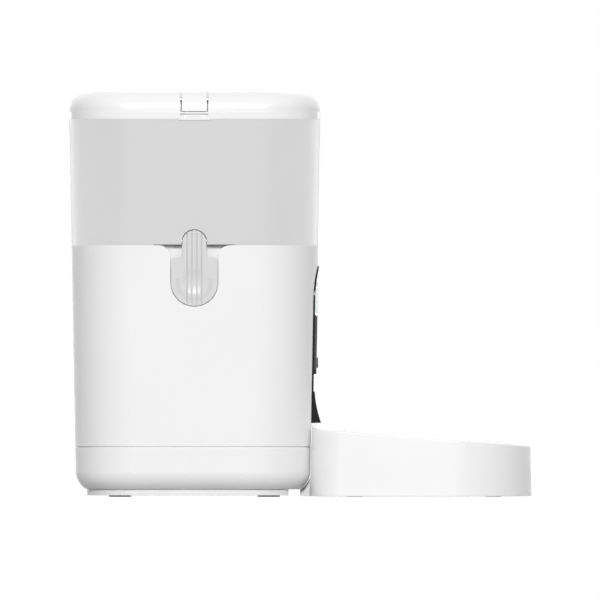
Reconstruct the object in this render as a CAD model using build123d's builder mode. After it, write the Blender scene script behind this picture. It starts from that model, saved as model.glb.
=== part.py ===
from build123d import *
from math import atan, cos, degrees, pi, radians, sin, sqrt, tan
import os

# A smart pet feeder: a tall dispenser column with a lift-off hopper and a bowl stand docked
# to its front. Millimetres, +Z up, front towards -Y, origin on the floor below the centre
# of the whole object. Left is -X and right is +X.

# The column: one drafted, crowned, round-cornered outline for base, body, hopper and lid
column_y = 82.3
column_depth = 195.7
column_width = 190.0
column_draft = 1.05
column_corner = 46.0
column_crown = 4.0

# Heights up the column
cover_floor_low = 1.1
skirt_top = 5.9
seam_height = 38.7
body_top = 195.5
collar_low = 293.6
collar_high = 299.0
lid_height = 16.3

# Walls and general clearances
shell_wall = 2.6
hopper_wall = 2.4
lid_wall = 2.4
fit_gap = 0.25
loose_gap = 0.5
pin_gap = 0.05

# Hollowed front face and rounded foot of the column
scoop_depth = 2.9
scoop_start = 153.0
scoop_end = 180.0
base_round = 17.0
base_round_top = 20.0
seam_groove = 1.0

# Front panel, window, control plate and button
panel_half_width = 34.0
panel_low = 82.0
panel_skin = 1.5
panel_corner = 26.0
plate_low = 95.2
plate_high = 141.3
plate_half_width = 22.0
plate_skin = 2.0
plate_corner = 5.0
window_high = 167.0
window_face = -14.0
button_height = 104.1
button_radius = 3.85
button_face = -13.9
button_travel = 0.8

# Outlet, chute and bezel
outlet_half_width = 28.0
chute_wall = 2.0
chute_lip_y = -11.2
chute_lip_height = 57.3
outlet_height = 22.0
bezel_wall = 3.4
bezel_reach = -16.1

# Portioning drum
drum_y = 66.0
drum_floor = 93.0
drum_plate = 2.5
drum_height = 43.0
drum_radius = 60.3
drum_wall = 2.2
drum_cover = 2.5
vane_count = 8
vane_thickness = 3.0
vane_gap = 1.0
hub_radius = 12.0
discharge_inner = 26.0
discharge_outer = 58.0
discharge_half_angle = 28.0

# Gear train
gear_module = 1.25
rotor_teeth = 28
idler_teeth = 44
pinion_teeth = 14
gear_low = 78.0
gear_face = 8.0
gear_backlash = 0.3
gear_cover_low = 72.0
gear_cover_wall = 1.8
gear_cover_gap = 1.5
shaft_radius = 4.0
idler_pin_radius = 2.0
motor_shaft_radius = 3.0
gearbox_radius = 17.0
gearbox_height = 16.0
motor_radius = 13.75
motor_height = 25.0

# Hopper: nested skirt, funnel and throat
skirt_low = 188.0
funnel_low = 145.0
throat_low = 139.2
throat_half = 42.0
throat_corner = 38.0
throat_crown = 0.8

# Release levers and the pockets that they sit in
lever_low = 148.3
lever_half_width = 18.15
lever_shoulder = 186.1
arm_half_width = 9.3
arm_top = 207.2
lever_thickness = 2.6
lever_window_gap = 0.45
lever_pivot_drop = 8.2
lever_pivot_inset = 4.6
lever_barrel = 2.7
lever_pin_radius = 1.5
pocket_depth = 7.4
pocket_wall = 1.6
pocket_margin = 1.5
window_flare = 9.0
rib_pitch = 3.76

# Lid, its latches, its liner and the drying box
lid_round = 14.0
lid_setback = 0.3
latch_half_width = 9.7
latch_gap = 1.1
latch_thickness = 2.9
latch_reach = 11.8
latch_back_gap = 1.5
latch_pivot_inset = 8.0
latch_pivot_drop = 6.7
latch_barrel = 1.9
latch_pin_radius = 1.0
catch_half_width = 12.3
catch_drop = 1.0
catch_proud = 0.8
liner_plug_low = 290.5
liner_plug_inset = 3.4
liner_plug_wall = 2.0
gasket_low = 292.0
gasket_height = 3.0
gasket_depth = 0.6
drying_radius = 31.0
drying_low = 280.0
drying_wall = 1.6

# Base, battery bay and boards
deck_low = 40.0
deck_thickness = 2.2
lip_low = 33.0
lip_wall = 2.0
cell_radius = 17.1
cell_length = 61.5
cell_pitch = 34.8
cell_low = 4.5
contact_thickness = 0.9
bay_wall = 1.8
foot_radius = 8.8
foot_thickness = 2.1
foot_places = [(-60.0, 24.7), (60.0, 24.7), (-60.0, 140.1), (60.0, 140.1)]
board_thickness = 1.6
inlet_height = 24.0

# Bowl stand and bowl
stand_front = -180.1
stand_rear = -7.5
stand_low = 0.5
stand_half_width = 88.0
stand_rear_height = 53.3
stand_front_height = 39.6
stand_draft = 1.6
stand_front_corner = 62.0
stand_rear_corner = 24.0
stand_crown = 2.5
stand_wall = 2.4
stand_edge = 1.6
bowl_y = -98.0
bowl_rim_radius = 73.0
bowl_mouth_radius = 69.0
bowl_floor_radius = 52.0
bowl_depth = 34.8
bowl_steel = 0.8
bowl_seat_depth = 2.2
tongue_half_width = 45.0
tongue_gap = 0.8
stand_foot_places = [(-58.0, -42.0), (58.0, -42.0), (-52.0, -150.0), (52.0, -150.0)]
stand_post_places = [(-74.0, -28.0), (74.0, -28.0), (-60.0, -158.0), (60.0, -158.0)]

body_reach = 2 * column_width
sides = {"left": -1, "right": 1}


def half_depth(height):
    """Half of the column's depth at a height."""
    return column_depth / 2 - (collar_low - height) * tan(radians(column_draft))


def half_width(height):
    """Half of the column's width at a height."""
    return half_depth(height) - (column_depth - column_width) / 2


def crowned_plan(height, half_x, half_y, centre_y, crown, corner):
    """Horizontal outline with four slightly bowed sides and round corners."""
    side, front = half_x - crown, half_y - crown
    low_y, high_y = centre_y - front, centre_y + front
    with BuildSketch(Plane.XY.offset(height)) as plan:
        with BuildLine():
            ThreePointArc((-side, low_y), (0, centre_y - half_y), (side, low_y))
            ThreePointArc((side, low_y), (half_x, centre_y), (side, high_y))
            ThreePointArc((side, high_y), (0, centre_y + half_y), (-side, high_y))
            ThreePointArc((-side, high_y), (-half_x, centre_y), (-side, low_y))
        make_face()
        fillet(plan.vertices(), corner)
    return plan.sketch


def column_plan(height, inset=0.0):
    """The column's outline at a height, drawn inside itself by an inset."""
    return crowned_plan(height, half_width(height) - inset, half_depth(height) - inset,
                        column_y, column_crown, column_corner - inset)


def throat_plan(height, inset=0.0):
    """The hopper throat's outline, drawn inside itself by an inset."""
    return crowned_plan(height, throat_half - inset, throat_half - inset,
                        column_y, throat_crown, throat_corner - inset)


def column_form(low, high, inset=0.0):
    """Solid length of the column between two heights."""
    with BuildPart() as form:
        loft([column_plan(low, inset), column_plan(high, inset)])
    return form.part


def front_y(height):
    """Place of the hollowed front face in the straight part of its profile."""
    return column_y - half_depth(height) + scoop_depth


def front_region(inward=0.0):
    """Side view of the space in front of the column's hollowed face and rounded foot."""
    top = Vector(column_y - half_depth(scoop_end) + inward, scoop_end)
    start = Vector(front_y(scoop_start) + inward, scoop_start)
    low = Vector(front_y(base_round_top) + inward, base_round_top)
    centre = Vector(front_y(base_round_top) + base_round, base_round_top)
    radius = base_round - inward
    middle = centre - Vector(radius, radius) * cos(pi / 4)
    bottom = centre - Vector(0, radius)
    far = stand_front
    with BuildSketch(Plane.YZ) as region:
        with BuildLine():
            TangentArc(start, top, tangent=(start - low).normalized())
            Line(start, low)
            ThreePointArc(low, middle, bottom)
            Polyline(bottom, (bottom.X, -base_round), (far, -base_round), (far, top.Y), top)
        make_face()
    return region.sketch


def body_form(low, high, inset=0.0):
    """Solid length of the column with its hollowed front."""
    with BuildPart() as form:
        add(column_form(low, high, inset))
        extrude(front_region(inset), amount=body_reach, both=True, mode=Mode.SUBTRACT)
    return form.part


def base_form(inset=0.0):
    """Solid foot of the column up to the seam, with its bottom edge rounded."""
    with BuildPart() as form:
        loft([column_plan(base_round_top - base_round + inset, inset), column_plan(seam_height, inset)])
        fillet(form.faces().sort_by(Axis.Z)[0].edges(), base_round - inset)
        extrude(front_region(inset), amount=body_reach, both=True, mode=Mode.SUBTRACT)
    return form.part


def front_band(inner, outer):
    """Skin lying on the hollowed front face, from one distance proud of it to another."""
    with BuildPart() as band:
        extrude(front_region(-inner), amount=panel_half_width * 2, both=True)
        extrude(front_region(-outer), amount=panel_half_width * 3, both=True, mode=Mode.SUBTRACT)
    return band.part


def front_outline(low, high, half, low_corner, high_corner):
    """Front view outline with its own radii at the lower and upper corners."""
    with BuildSketch(Plane.XZ) as outline:
        with Locations((0, (low + high) / 2)):
            Rectangle(2 * half, high - low)
        fillet(outline.vertices().group_by(Axis.Y)[0], low_corner)
        fillet(outline.vertices().group_by(Axis.Y)[-1], high_corner)
    return outline.sketch


def screws(places, seat, length, shank=1.5, head=2.8, head_height=1.8, up=False):
    """Identical pan-head screws; the heads lie below their seat when the screws point up."""
    head_side, shank_side = (Align.MAX, Align.MIN) if up else (Align.MIN, Align.MAX)
    with BuildPart() as group:
        with Locations(*[(x, y, seat) for x, y in places]):
            Cylinder(head, head_height, align=(Align.CENTER, Align.CENTER, head_side))
            Cylinder(shank, length, align=(Align.CENTER, Align.CENTER, shank_side))
    return group.part


def save(name, piece):
    """Label a finished piece and write it under its own name."""
    piece.label = name
    export_step(piece, f"parts/{name}.step")


os.makedirs("parts", exist_ok=True)

# Body shell: an open sleeve with a pocket for each lever, the outlet and the button hole
pocket_back = half_width(lever_low) - pocket_depth
outlet_low = chute_lip_height - chute_wall - 1.2
sleeve_half = outlet_half_width + chute_wall + fit_gap + bezel_wall - 1.0
outlet_top = chute_lip_height + outlet_height
body_boss_radius = 6.0
front_board_low, front_board_high = panel_low + 12, window_high
front_board_y = front_y(scoop_start) + shell_wall + 2.6
front_board_posts = [(x, z) for x in (-20.0, 20.0) for z in (front_board_low + 4, front_board_high - 4)]
front_post_length = 3.6
body_boss_places = [(x, column_y + y) for x in (-70.5, 70.5) for y in (-73.0, 73.0)]


def lever_window(grow=0.0):
    """Side view of the lever's window: a U, open and flared at the top."""
    half = lever_half_width + lever_window_gap + grow
    middle = lever_low + lever_half_width
    flare = window_flare
    edge = body_top - flare
    with BuildSketch(Plane.YZ) as window:
        with BuildLine():
            ThreePointArc((column_y - half, middle), (column_y, middle - half), (column_y + half, middle))
            Line((column_y + half, middle), (column_y + half, edge))
            ThreePointArc((column_y + half, edge),
                          (column_y + half + flare * (1 - cos(pi / 4)), edge + flare * sin(pi / 4)),
                          (column_y + half + flare, body_top))
            Polyline((column_y + half + flare, body_top), (column_y + half + flare, body_top + flare),
                     (column_y - half - flare, body_top + flare), (column_y - half - flare, body_top))
            ThreePointArc((column_y - half - flare, body_top),
                          (column_y - half - flare * (1 - cos(pi / 4)), edge + flare * sin(pi / 4)),
                          (column_y - half, edge))
            Line((column_y - half, edge), (column_y - half, middle))
        make_face()
    return window.sketch


def side_block(outline, side, inner):
    """A side-view outline run outwards from one distance off the middle, on one side."""
    with BuildPart() as block:
        extrude(outline, amount=side * body_reach)
        with Locations((side * inner / 2, column_y, body_top / 2)):
            Box(inner, body_reach, 2 * body_reach, mode=Mode.SUBTRACT)
    return block.part


with BuildPart() as shell_solid:
    add(body_form(seam_height, body_top))

with BuildPart() as shell_inside:
    add(body_form(seam_height, body_top, shell_wall))

with BuildPart() as lever_pockets:
    for side in sides.values():
        add(side_block(lever_window(pocket_margin + pocket_wall), side, pocket_back - pocket_wall))
    add(shell_solid.part, mode=Mode.INTERSECT)

with BuildPart() as lever_spaces:
    for side in sides.values():
        add(side_block(lever_window(pocket_margin), side, pocket_back))
    add(shell_inside.part, mode=Mode.INTERSECT)
    for side in sides.values():
        add(side_block(lever_window(), side, pocket_back + pocket_wall))

with BuildPart() as seam_ring:
    add(body_form(seam_height - seam_groove / 2, seam_height + seam_groove / 2, -seam_groove))
    add(body_form(seam_height - seam_groove, seam_height + seam_groove, seam_groove), mode=Mode.SUBTRACT)

with BuildPart() as body_shell:
    add(shell_solid.part)
    add(shell_inside.part, mode=Mode.SUBTRACT)
    add(lever_pockets.part)
    add(lever_spaces.part, mode=Mode.SUBTRACT)
    add(seam_ring.part, mode=Mode.SUBTRACT)
    with Locations(*[(x, y, deck_low + deck_thickness) for x, y in body_boss_places]):
        Cylinder(body_boss_radius, 18, align=(Align.CENTER, Align.CENTER, Align.MIN))
    with Locations(*[(x, y, deck_low + deck_thickness) for x, y in body_boss_places]):
        Cylinder(1.5, 14, align=(Align.CENTER, Align.CENTER, Align.MIN), mode=Mode.SUBTRACT)
    with Locations((0, 0, (outlet_low + outlet_top + bezel_wall) / 2)):
        Box(2 * sleeve_half + 2 * fit_gap, 40, outlet_top + bezel_wall - outlet_low, mode=Mode.SUBTRACT)
    with Locations(Plane.XZ.offset(-10) * Location((0, button_height))):
        Cylinder(button_radius + 0.6, 40, mode=Mode.SUBTRACT)
    with Locations(*[Location((x, front_board_y, z), (90, 0, 0)) for x, z in front_board_posts]):
        Cylinder(2.8, front_post_length, align=(Align.CENTER, Align.CENTER, Align.MIN))
    with Locations(*[Location((x, front_board_y, z), (90, 0, 0)) for x, z in front_board_posts]):
        Cylinder(1.0, front_post_length - 0.2, align=(Align.CENTER, Align.CENTER, Align.MIN),
                 mode=Mode.SUBTRACT)
save("body_shell", body_shell.part)

# Base deck: a plate with a locating lip, the battery bay and posts, above the rounded base
bay_half_x = 1.5 * cell_pitch + 0.6
bay_low_y = column_y - cell_length / 2 - contact_thickness
bay_high_y = column_y + cell_length / 2 + contact_thickness
bay_length = bay_high_y - bay_low_y
cell_axis = cell_low + cell_radius
tray_posts = [(-68.0, 58.0), (68.0, 58.0), (-68.0, 106.0), (68.0, 106.0)]
drum_post_x, drum_post_y = 60.5, 30.5
drum_posts = [(x, drum_y + y) for x in (-drum_post_x, drum_post_x) for y in (-drum_post_y, drum_post_y)]
pillar_spigot = 2.4
board_posts = [(-32.0, 82.0), (32.0, 82.0), (-32.0, 142.0), (32.0, 142.0)]
deck_high = deck_low + deck_thickness
board_low = deck_high + 3.8
lip_inset = shell_wall + fit_gap
cover_floor_high = cover_floor_low + 2.2
inlet_y = column_y + half_depth(inlet_height)

with BuildPart() as base_deck:
    add(body_form(lip_low, deck_high, lip_inset))
    add(body_form(lip_low - 1, deck_low, lip_inset + lip_wall), mode=Mode.SUBTRACT)
    with Locations((0, column_y, (skirt_top + deck_low) / 2)):
        Box(2 * bay_half_x + 2 * bay_wall, bay_length + 2 * bay_wall, deck_low - skirt_top)
        Box(2 * bay_half_x, bay_length, deck_low - skirt_top, mode=Mode.SUBTRACT)
    with Locations(*[(x, y, cover_floor_high) for x, y in tray_posts]):
        Cylinder(4.0, deck_low - cover_floor_high + 1, align=(Align.CENTER, Align.CENTER, Align.MIN))
    with Locations(*[(x, y, cover_floor_high) for x, y in tray_posts]):
        Cylinder(1.5, 16, align=(Align.CENTER, Align.CENTER, Align.MIN), mode=Mode.SUBTRACT)
    with Locations(*[(x, y, deck_low) for x, y in drum_posts]):
        Cylinder(pillar_spigot + pin_gap, 3 * deck_thickness, mode=Mode.SUBTRACT)
    with Locations(*[(x, y, deck_high) for x, y in board_posts]):
        Cylinder(3.0, board_low - deck_high, align=(Align.CENTER, Align.CENTER, Align.MIN))
    with Locations(*[(x, y, board_low) for x, y in board_posts]):
        Cylinder(1.0, 5, align=(Align.CENTER, Align.CENTER, Align.MAX), mode=Mode.SUBTRACT)
    with Locations(*[(x, y, deck_low - 1) for x, y in body_boss_places]):
        Cylinder(1.7, deck_thickness + 2, align=(Align.CENTER, Align.CENTER, Align.MIN), mode=Mode.SUBTRACT)
save("base_deck", base_deck.part)

# Drum pillars: four posts on the deck that carry the drum housing
with BuildPart() as drum_pillars:
    with Locations(*[(x, y, deck_high) for x, y in drum_posts]):
        Cylinder(4.0, drum_floor - drum_plate - deck_high, align=(Align.CENTER, Align.CENTER, Align.MIN))
        Cylinder(pillar_spigot, deck_thickness, align=(Align.CENTER, Align.CENTER, Align.MAX))
    with Locations(*[(x, y, drum_floor - drum_plate) for x, y in drum_posts]):
        Cylinder(1.5, 14, align=(Align.CENTER, Align.CENTER, Align.MAX), mode=Mode.SUBTRACT)
save("drum_pillars", drum_pillars.part)

# Base tray: rounded lower housing with a ledge under the deck's lip and the power socket's hole
ledge_height = 2.0
with BuildPart() as deck_ledge:
    add(body_form(lip_low - ledge_height, lip_low, shell_wall - 0.1))
    add(body_form(lip_low - 2 * ledge_height, lip_low + 1, lip_inset + lip_wall), mode=Mode.SUBTRACT)

with BuildPart() as base_tray:
    add(base_form())
    add(base_form(shell_wall), mode=Mode.SUBTRACT)
    with Locations((0, column_y, 0)):
        Box(body_reach, body_reach, 2 * skirt_top, mode=Mode.SUBTRACT)
    add(deck_ledge.part)
    add(seam_ring.part, mode=Mode.SUBTRACT)
    with BuildSketch(Plane.XZ.offset(-inlet_y - 2)) as inlet_hole:
        with Locations((0, inlet_height)):
            SlotOverall(9.4, 3.7)
    extrude(amount=16, mode=Mode.SUBTRACT)
    with BuildSketch(Plane.XZ.offset(-inlet_y - 2)) as inlet_recess:
        with Locations((0, inlet_height)):
            SlotOverall(14, 8)
    extrude(amount=3.2, mode=Mode.SUBTRACT)
save("base_tray", base_tray.part)

# Bottom cover: the low skirt and floor, with the battery hatch and foot recesses
cover_inset = 8.5
cover_lip_inset = 14.6
hatch_half_x = bay_half_x - 1.0
hatch_half_y = bay_length / 2 + 1.0
hatch_step = 3.0

with BuildPart() as bottom_cover:
    with BuildSketch(Plane.XY.offset(cover_floor_low)):
        add(column_plan(cover_floor_low, cover_inset))
    extrude(amount=skirt_top - cover_floor_low)
    extrude(column_plan(cover_floor_high, cover_inset + 2.2), amount=skirt_top, mode=Mode.SUBTRACT)
    extrude(column_plan(cover_floor_high, cover_lip_inset), amount=5)
    extrude(column_plan(cover_floor_high, cover_lip_inset + 1.6), amount=6, mode=Mode.SUBTRACT)
    extrude(front_region(cover_inset), amount=body_reach, both=True, mode=Mode.SUBTRACT)
    with Locations((0, column_y, cover_floor_low)):
        Box(2 * hatch_half_x - 2 * hatch_step, 2 * hatch_half_y - 2 * hatch_step, 20, mode=Mode.SUBTRACT)
        Box(2 * hatch_half_x, 2 * hatch_half_y, 2.2, mode=Mode.SUBTRACT)
    with Locations(*[(x, y, cover_floor_low) for x, y in foot_places]):
        Cylinder(foot_radius + 0.1, 2 * (foot_thickness - cover_floor_low), mode=Mode.SUBTRACT)
    with Locations(*[(x, y, cover_floor_low) for x, y in tray_posts]):
        Cylinder(1.6, 12, mode=Mode.SUBTRACT)
        Cylinder(3.2, 2.4, mode=Mode.SUBTRACT)
save("bottom_cover", bottom_cover.part)

hatch_gap = 0.4
with BuildPart() as battery_door:
    with Locations((0, column_y, cover_floor_low)):
        Box(2 * (hatch_half_x - hatch_gap), 2 * (hatch_half_y - hatch_gap), 1.1,
            align=(Align.CENTER, Align.CENTER, Align.MIN))
        Box(2 * (hatch_half_x - hatch_step - hatch_gap), 2 * (hatch_half_y - hatch_step - hatch_gap), 3.0,
            align=(Align.CENTER, Align.CENTER, Align.MIN))
    with Locations((0, column_y - hatch_half_y + 9, cover_floor_low)):
        with GridLocations(0, 2.4, 1, 3):
            Box(18, 1.0, 0.8, mode=Mode.SUBTRACT)
save("battery_door", battery_door.part)

with BuildPart() as battery_cells:
    for index in (-1, 0, 1):
        front_end = column_y - cell_length / 2
        nub_end, body_shift = (front_end, 1.7) if index == 0 else (front_end + cell_length - 1.7, 0)
        with Locations(Location((index * cell_pitch, front_end + body_shift, cell_axis), (-90, 0, 0))):
            Cylinder(cell_radius, cell_length - 1.7, align=(Align.CENTER, Align.CENTER, Align.MIN))
        with Locations(Location((index * cell_pitch, nub_end, cell_axis), (-90, 0, 0))):
            Cylinder(4.75, 1.7, align=(Align.CENTER, Align.CENTER, Align.MIN))
save("battery_cells", battery_cells.part)

with BuildPart() as battery_contacts:
    for index in (-1, 0, 1):
        with Locations((index * cell_pitch, bay_low_y + contact_thickness / 2, cell_axis),
                       (index * cell_pitch, bay_high_y - contact_thickness / 2, cell_axis)):
            Box(14, contact_thickness, 16)
save("battery_contacts", battery_contacts.part)

with BuildPart() as body_feet:
    with Locations(*[(x, y, 0) for x, y in foot_places]):
        Cylinder(foot_radius, foot_thickness, align=(Align.CENTER, Align.CENTER, Align.MIN))
    chamfer(body_feet.edges().group_by(Axis.Z)[0], 0.4)
save("body_feet", body_feet.part)

# Power inlet: a small rounded socket with a tongue inside, set in the back of the base
with BuildPart() as power_inlet:
    with BuildSketch(Plane.XZ.offset(-inlet_y + 1.4)):
        with Locations((0, inlet_height)):
            SlotOverall(9.2, 3.5)
    extrude(amount=8)
    with BuildSketch(Plane.XZ.offset(-inlet_y + 1.4)):
        with Locations((0, inlet_height)):
            SlotOverall(8.4, 2.7)
    extrude(amount=6.5, mode=Mode.SUBTRACT)
    with Locations((0, inlet_y - 5.5, inlet_height)):
        Box(6.6, 5, 0.7)
    with Locations((0, inlet_y - 8.6, inlet_height - 2.55)):
        Box(18, 9, 1.6)
save("power_inlet", power_inlet.part)

# Front panel, window, control plate, button and the boards behind them
with BuildPart() as front_panel:
    add(front_band(0, panel_skin))
    extrude(front_outline(panel_low, scoop_end, panel_half_width, 1.0, panel_corner), amount=60, both=True,
            mode=Mode.INTERSECT)
    with Locations(Plane.XZ.offset(-10) * Location((0, button_height))):
        Cylinder(button_radius + 0.4, 60, mode=Mode.SUBTRACT)
save("front_panel", front_panel.part)

with BuildPart() as control_plate:
    add(front_band(panel_skin, panel_skin + plate_skin))
    extrude(front_outline(plate_low, plate_high, plate_half_width, plate_corner, 1.0), amount=60, both=True,
            mode=Mode.INTERSECT)
    with Locations(Plane.XZ.offset(-10) * Location((0, button_height))):
        Cylinder(button_radius + 0.4, 60, mode=Mode.SUBTRACT)
save("control_plate", control_plate.part)

with BuildPart() as status_window:
    extrude(front_outline(plate_high + 0.3, window_high, plate_half_width, 1.0, plate_corner), amount=60,
            both=True)
    with Locations((0, window_face - 60, window_high)):
        Box(body_reach, 120, body_reach, mode=Mode.SUBTRACT)
    extrude(front_region(-panel_skin), amount=body_reach, both=True, mode=Mode.INTERSECT)
save("status_window", status_window.part)

switch_face = front_y(button_height) + shell_wall - 1.3
stem_end = switch_face - button_travel - 0.3
with BuildPart() as feed_button:
    with BuildSketch(Plane.XZ.offset(-button_face)):
        with Locations((0, button_height)):
            Circle(button_radius)
    extrude(amount=-3.0)
    fillet(feed_button.edges().group_by(Axis.Y)[0], 0.5)
    with BuildSketch(Plane.XZ.offset(-button_face - 3.0)):
        with Locations((0, button_height)):
            Circle(2.0)
    extrude(amount=button_face + 3.0 - stem_end)
save("feed_button", feed_button.part)

with BuildPart() as front_board:
    with Locations((0, front_board_y + board_thickness / 2, (front_board_low + front_board_high) / 2)):
        Box(50, board_thickness, front_board_high - front_board_low)
    with Locations((0, (switch_face + front_board_y) / 2, button_height)):
        Box(6, front_board_y - switch_face, 6)
    with Locations((0, front_board_y + board_thickness + 1, 130)):
        Box(16, 2, 12)
    with Locations(*[(x, front_board_y, z) for x, z in front_board_posts]):
        Cylinder(1.1, 10, rotation=(90, 0, 0), mode=Mode.SUBTRACT)
save("front_board", front_board.part)

capacitor_places = [(24.0, 128.0), (12.0, 132.0)]
with BuildPart() as main_board:
    with Locations((0, 112, board_low)):
        Box(76, 72, board_thickness, align=(Align.CENTER, Align.CENTER, Align.MIN))
    with Locations((-20, 130, board_low + board_thickness)):
        Box(18, 25, 3, align=(Align.CENTER, Align.CENTER, Align.MIN))
    with Locations((14, 100, board_low + board_thickness)):
        Box(10, 10, 1.6, align=(Align.CENTER, Align.CENTER, Align.MIN))
    with Locations(*[(x, y, board_low + board_thickness) for x, y in capacitor_places]):
        Cylinder(4.0, 11, align=(Align.CENTER, Align.CENTER, Align.MIN))
    with Locations((-8, 84, board_low + board_thickness)):
        Box(16, 7, 6, align=(Align.CENTER, Align.CENTER, Align.MIN))
    with Locations(*[(x, y, board_low) for x, y in board_posts]):
        Cylinder(1.1, 6, mode=Mode.SUBTRACT)
save("main_board", main_board.part)

# Outlet bezel: black sleeve with cheeks that stand out further towards the bottom
sleeve_inner = outlet_half_width + chute_wall + fit_gap
bezel_half = sleeve_inner + bezel_wall + 1.0
bezel_back = front_y(panel_low)
sleeve_back = bezel_back + shell_wall + 1.0
with BuildPart() as outlet_bezel:
    with BuildSketch(Plane.YZ) as cheek:
        with BuildLine():
            Polyline((bezel_back, panel_low - 0.2), (chute_lip_y, panel_low - 0.2))
            ThreePointArc((chute_lip_y, panel_low - 0.2),
                          ((chute_lip_y + bezel_reach) / 2 + 0.7, (panel_low + chute_lip_height) / 2 - 1),
                          (bezel_reach, chute_lip_height))
            Polyline((bezel_reach, chute_lip_height), (front_y(chute_lip_height), chute_lip_height),
                     (bezel_back, panel_low - 0.2))
        make_face()
    extrude(amount=bezel_half, both=True)
    with Locations((0, (chute_lip_y + sleeve_back) / 2, (outlet_low + panel_low) / 2 - 0.1)):
        Box(2 * sleeve_half, sleeve_back - chute_lip_y, panel_low - outlet_low - 1.0)
    with Locations((0, 0, (outlet_low + outlet_top) / 2 - 1)):
        Box(2 * sleeve_inner, 60, outlet_top - outlet_low + 2, mode=Mode.SUBTRACT)
save("outlet_bezel", outlet_bezel.part)

# Chute: open-mouthed duct that slopes from the drum's floor to the outlet lip
chute_front = drum_y - discharge_outer - 1.5
chute_rear = drum_y - discharge_inner + 1.5
chute_top = drum_floor - drum_plate
chute_run = chute_rear - chute_lip_y
slope = (chute_top - chute_lip_height) / chute_run
floor_drop = chute_wall * sqrt(1 + slope ** 2)
roof_y = front_y(outlet_top) + 1.0
roof_top = outlet_top - fit_gap
with BuildPart() as food_chute:
    with BuildSketch(Plane.YZ) as chute_outside:
        with BuildLine():
            Polyline((chute_front - chute_wall, chute_top), (chute_rear + chute_wall, chute_top),
                     (chute_rear + chute_wall, chute_top - 2 * chute_wall),
                     (chute_lip_y, chute_lip_height - floor_drop), (chute_lip_y, chute_lip_height),
                     (roof_y, chute_lip_height + (roof_y - chute_lip_y) * slope),
                     (roof_y, roof_top), (sleeve_back, roof_top),
                     (chute_front - chute_wall, roof_top + 5), close=True)
        make_face()
    extrude(amount=outlet_half_width + chute_wall, both=True)
    with BuildSketch(Plane.YZ) as chute_inside:
        with BuildLine():
            Polyline((chute_front, chute_top + 1), (chute_rear, chute_top + 1), (chute_rear, chute_top),
                     (chute_lip_y, chute_lip_height), (chute_lip_y - 5, chute_lip_height - 5 * slope),
                     (chute_lip_y - 5, roof_top - chute_wall), (sleeve_back, roof_top - chute_wall),
                     (chute_front, roof_top + 5 - chute_wall), close=True)
        make_face()
    extrude(amount=outlet_half_width, both=True, mode=Mode.SUBTRACT)
save("food_chute", food_chute.part)

# Drum housing: round tub on a mechanism plate, with a discharge sector in its floor
tub_high = drum_floor + drum_height
tub_ears = [(drum_radius * 0.78 * x, drum_y + drum_radius * 0.78 * y) for x in (-1, 1) for y in (-1, 1)]
idler_y = drum_y + gear_module * (rotor_teeth + idler_teeth) / 2
pinion_y = idler_y + gear_module * (idler_teeth + pinion_teeth) / 2
gear_covers = [(drum_y, rotor_teeth), (idler_y, idler_teeth), (pinion_y, pinion_teeth)]
cover_tab = gear_module * (idler_teeth / 2 + 1) + gear_cover_gap + gear_cover_wall + 3.0
tail_end = pinion_y + gear_module * (pinion_teeth / 2 + 1) + gear_cover_gap + gear_cover_wall + 7.0
gear_screw_places = [(-cover_tab, idler_y), (cover_tab, idler_y), (0, tail_end - 4.0)]
plate_margin = 6.0
motor_screw_places = [(-gearbox_radius - 4.0, pinion_y), (gearbox_radius + 4.0, pinion_y)]
bushing_radius = 6.5
bushing_flange = 1.5

with BuildPart() as dispenser_tub:
    with BuildSketch(Plane.XY.offset(drum_floor - drum_plate)):
        with Locations((0, drum_y)):
            Circle(drum_radius + drum_wall)
            RectangleRounded(2 * (drum_post_x + plate_margin), 2 * (drum_post_y + plate_margin), plate_margin)
        with Locations((0, (drum_y + tail_end) / 2)):
            RectangleRounded(2 * cover_tab + 9, tail_end - drum_y, 4)
    extrude(amount=drum_plate)
    with BuildSketch(Plane.XY.offset(drum_floor)):
        with Locations((0, drum_y)):
            Circle(drum_radius + drum_wall)
        with Locations(*tub_ears):
            Circle(4.5)
    extrude(amount=drum_height)
    with BuildSketch(Plane.XY.offset(drum_floor)):
        with Locations((0, drum_y)):
            Circle(drum_radius)
    extrude(amount=drum_height, mode=Mode.SUBTRACT)
    with BuildSketch(Plane.XY.offset(drum_floor - drum_plate)):
        with BuildLine():
            first = -90 - discharge_half_angle
            inner_arc = CenterArc((0, drum_y), discharge_inner, first, 2 * discharge_half_angle)
            outer_arc = CenterArc((0, drum_y), discharge_outer, first, 2 * discharge_half_angle)
            Line(inner_arc @ 0, outer_arc @ 0)
            Line(inner_arc @ 1, outer_arc @ 1)
        make_face()
    extrude(amount=drum_plate, mode=Mode.SUBTRACT)
    with Locations((0, drum_y, drum_floor)):
        Cylinder(bushing_radius, 4 * drum_plate, mode=Mode.SUBTRACT)
    with Locations((0, idler_y, drum_floor)):
        Cylinder(idler_pin_radius, 4 * drum_plate, mode=Mode.SUBTRACT)
    with Locations((0, pinion_y, drum_floor)):
        Cylinder(motor_shaft_radius + loose_gap, 4 * drum_plate, mode=Mode.SUBTRACT)
    with Locations(*[(x, y, drum_floor) for x, y in drum_posts]):
        Cylinder(1.6, 4 * drum_plate, mode=Mode.SUBTRACT)
    with Locations(*[(x, y, drum_floor) for x, y in gear_screw_places + motor_screw_places]):
        Cylinder(1.25, 4 * drum_plate, mode=Mode.SUBTRACT)
    with Locations(*[(x, y, tub_high) for x, y in tub_ears]):
        Cylinder(1.25, 24, mode=Mode.SUBTRACT)
save("dispenser_tub", dispenser_tub.part)

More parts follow.
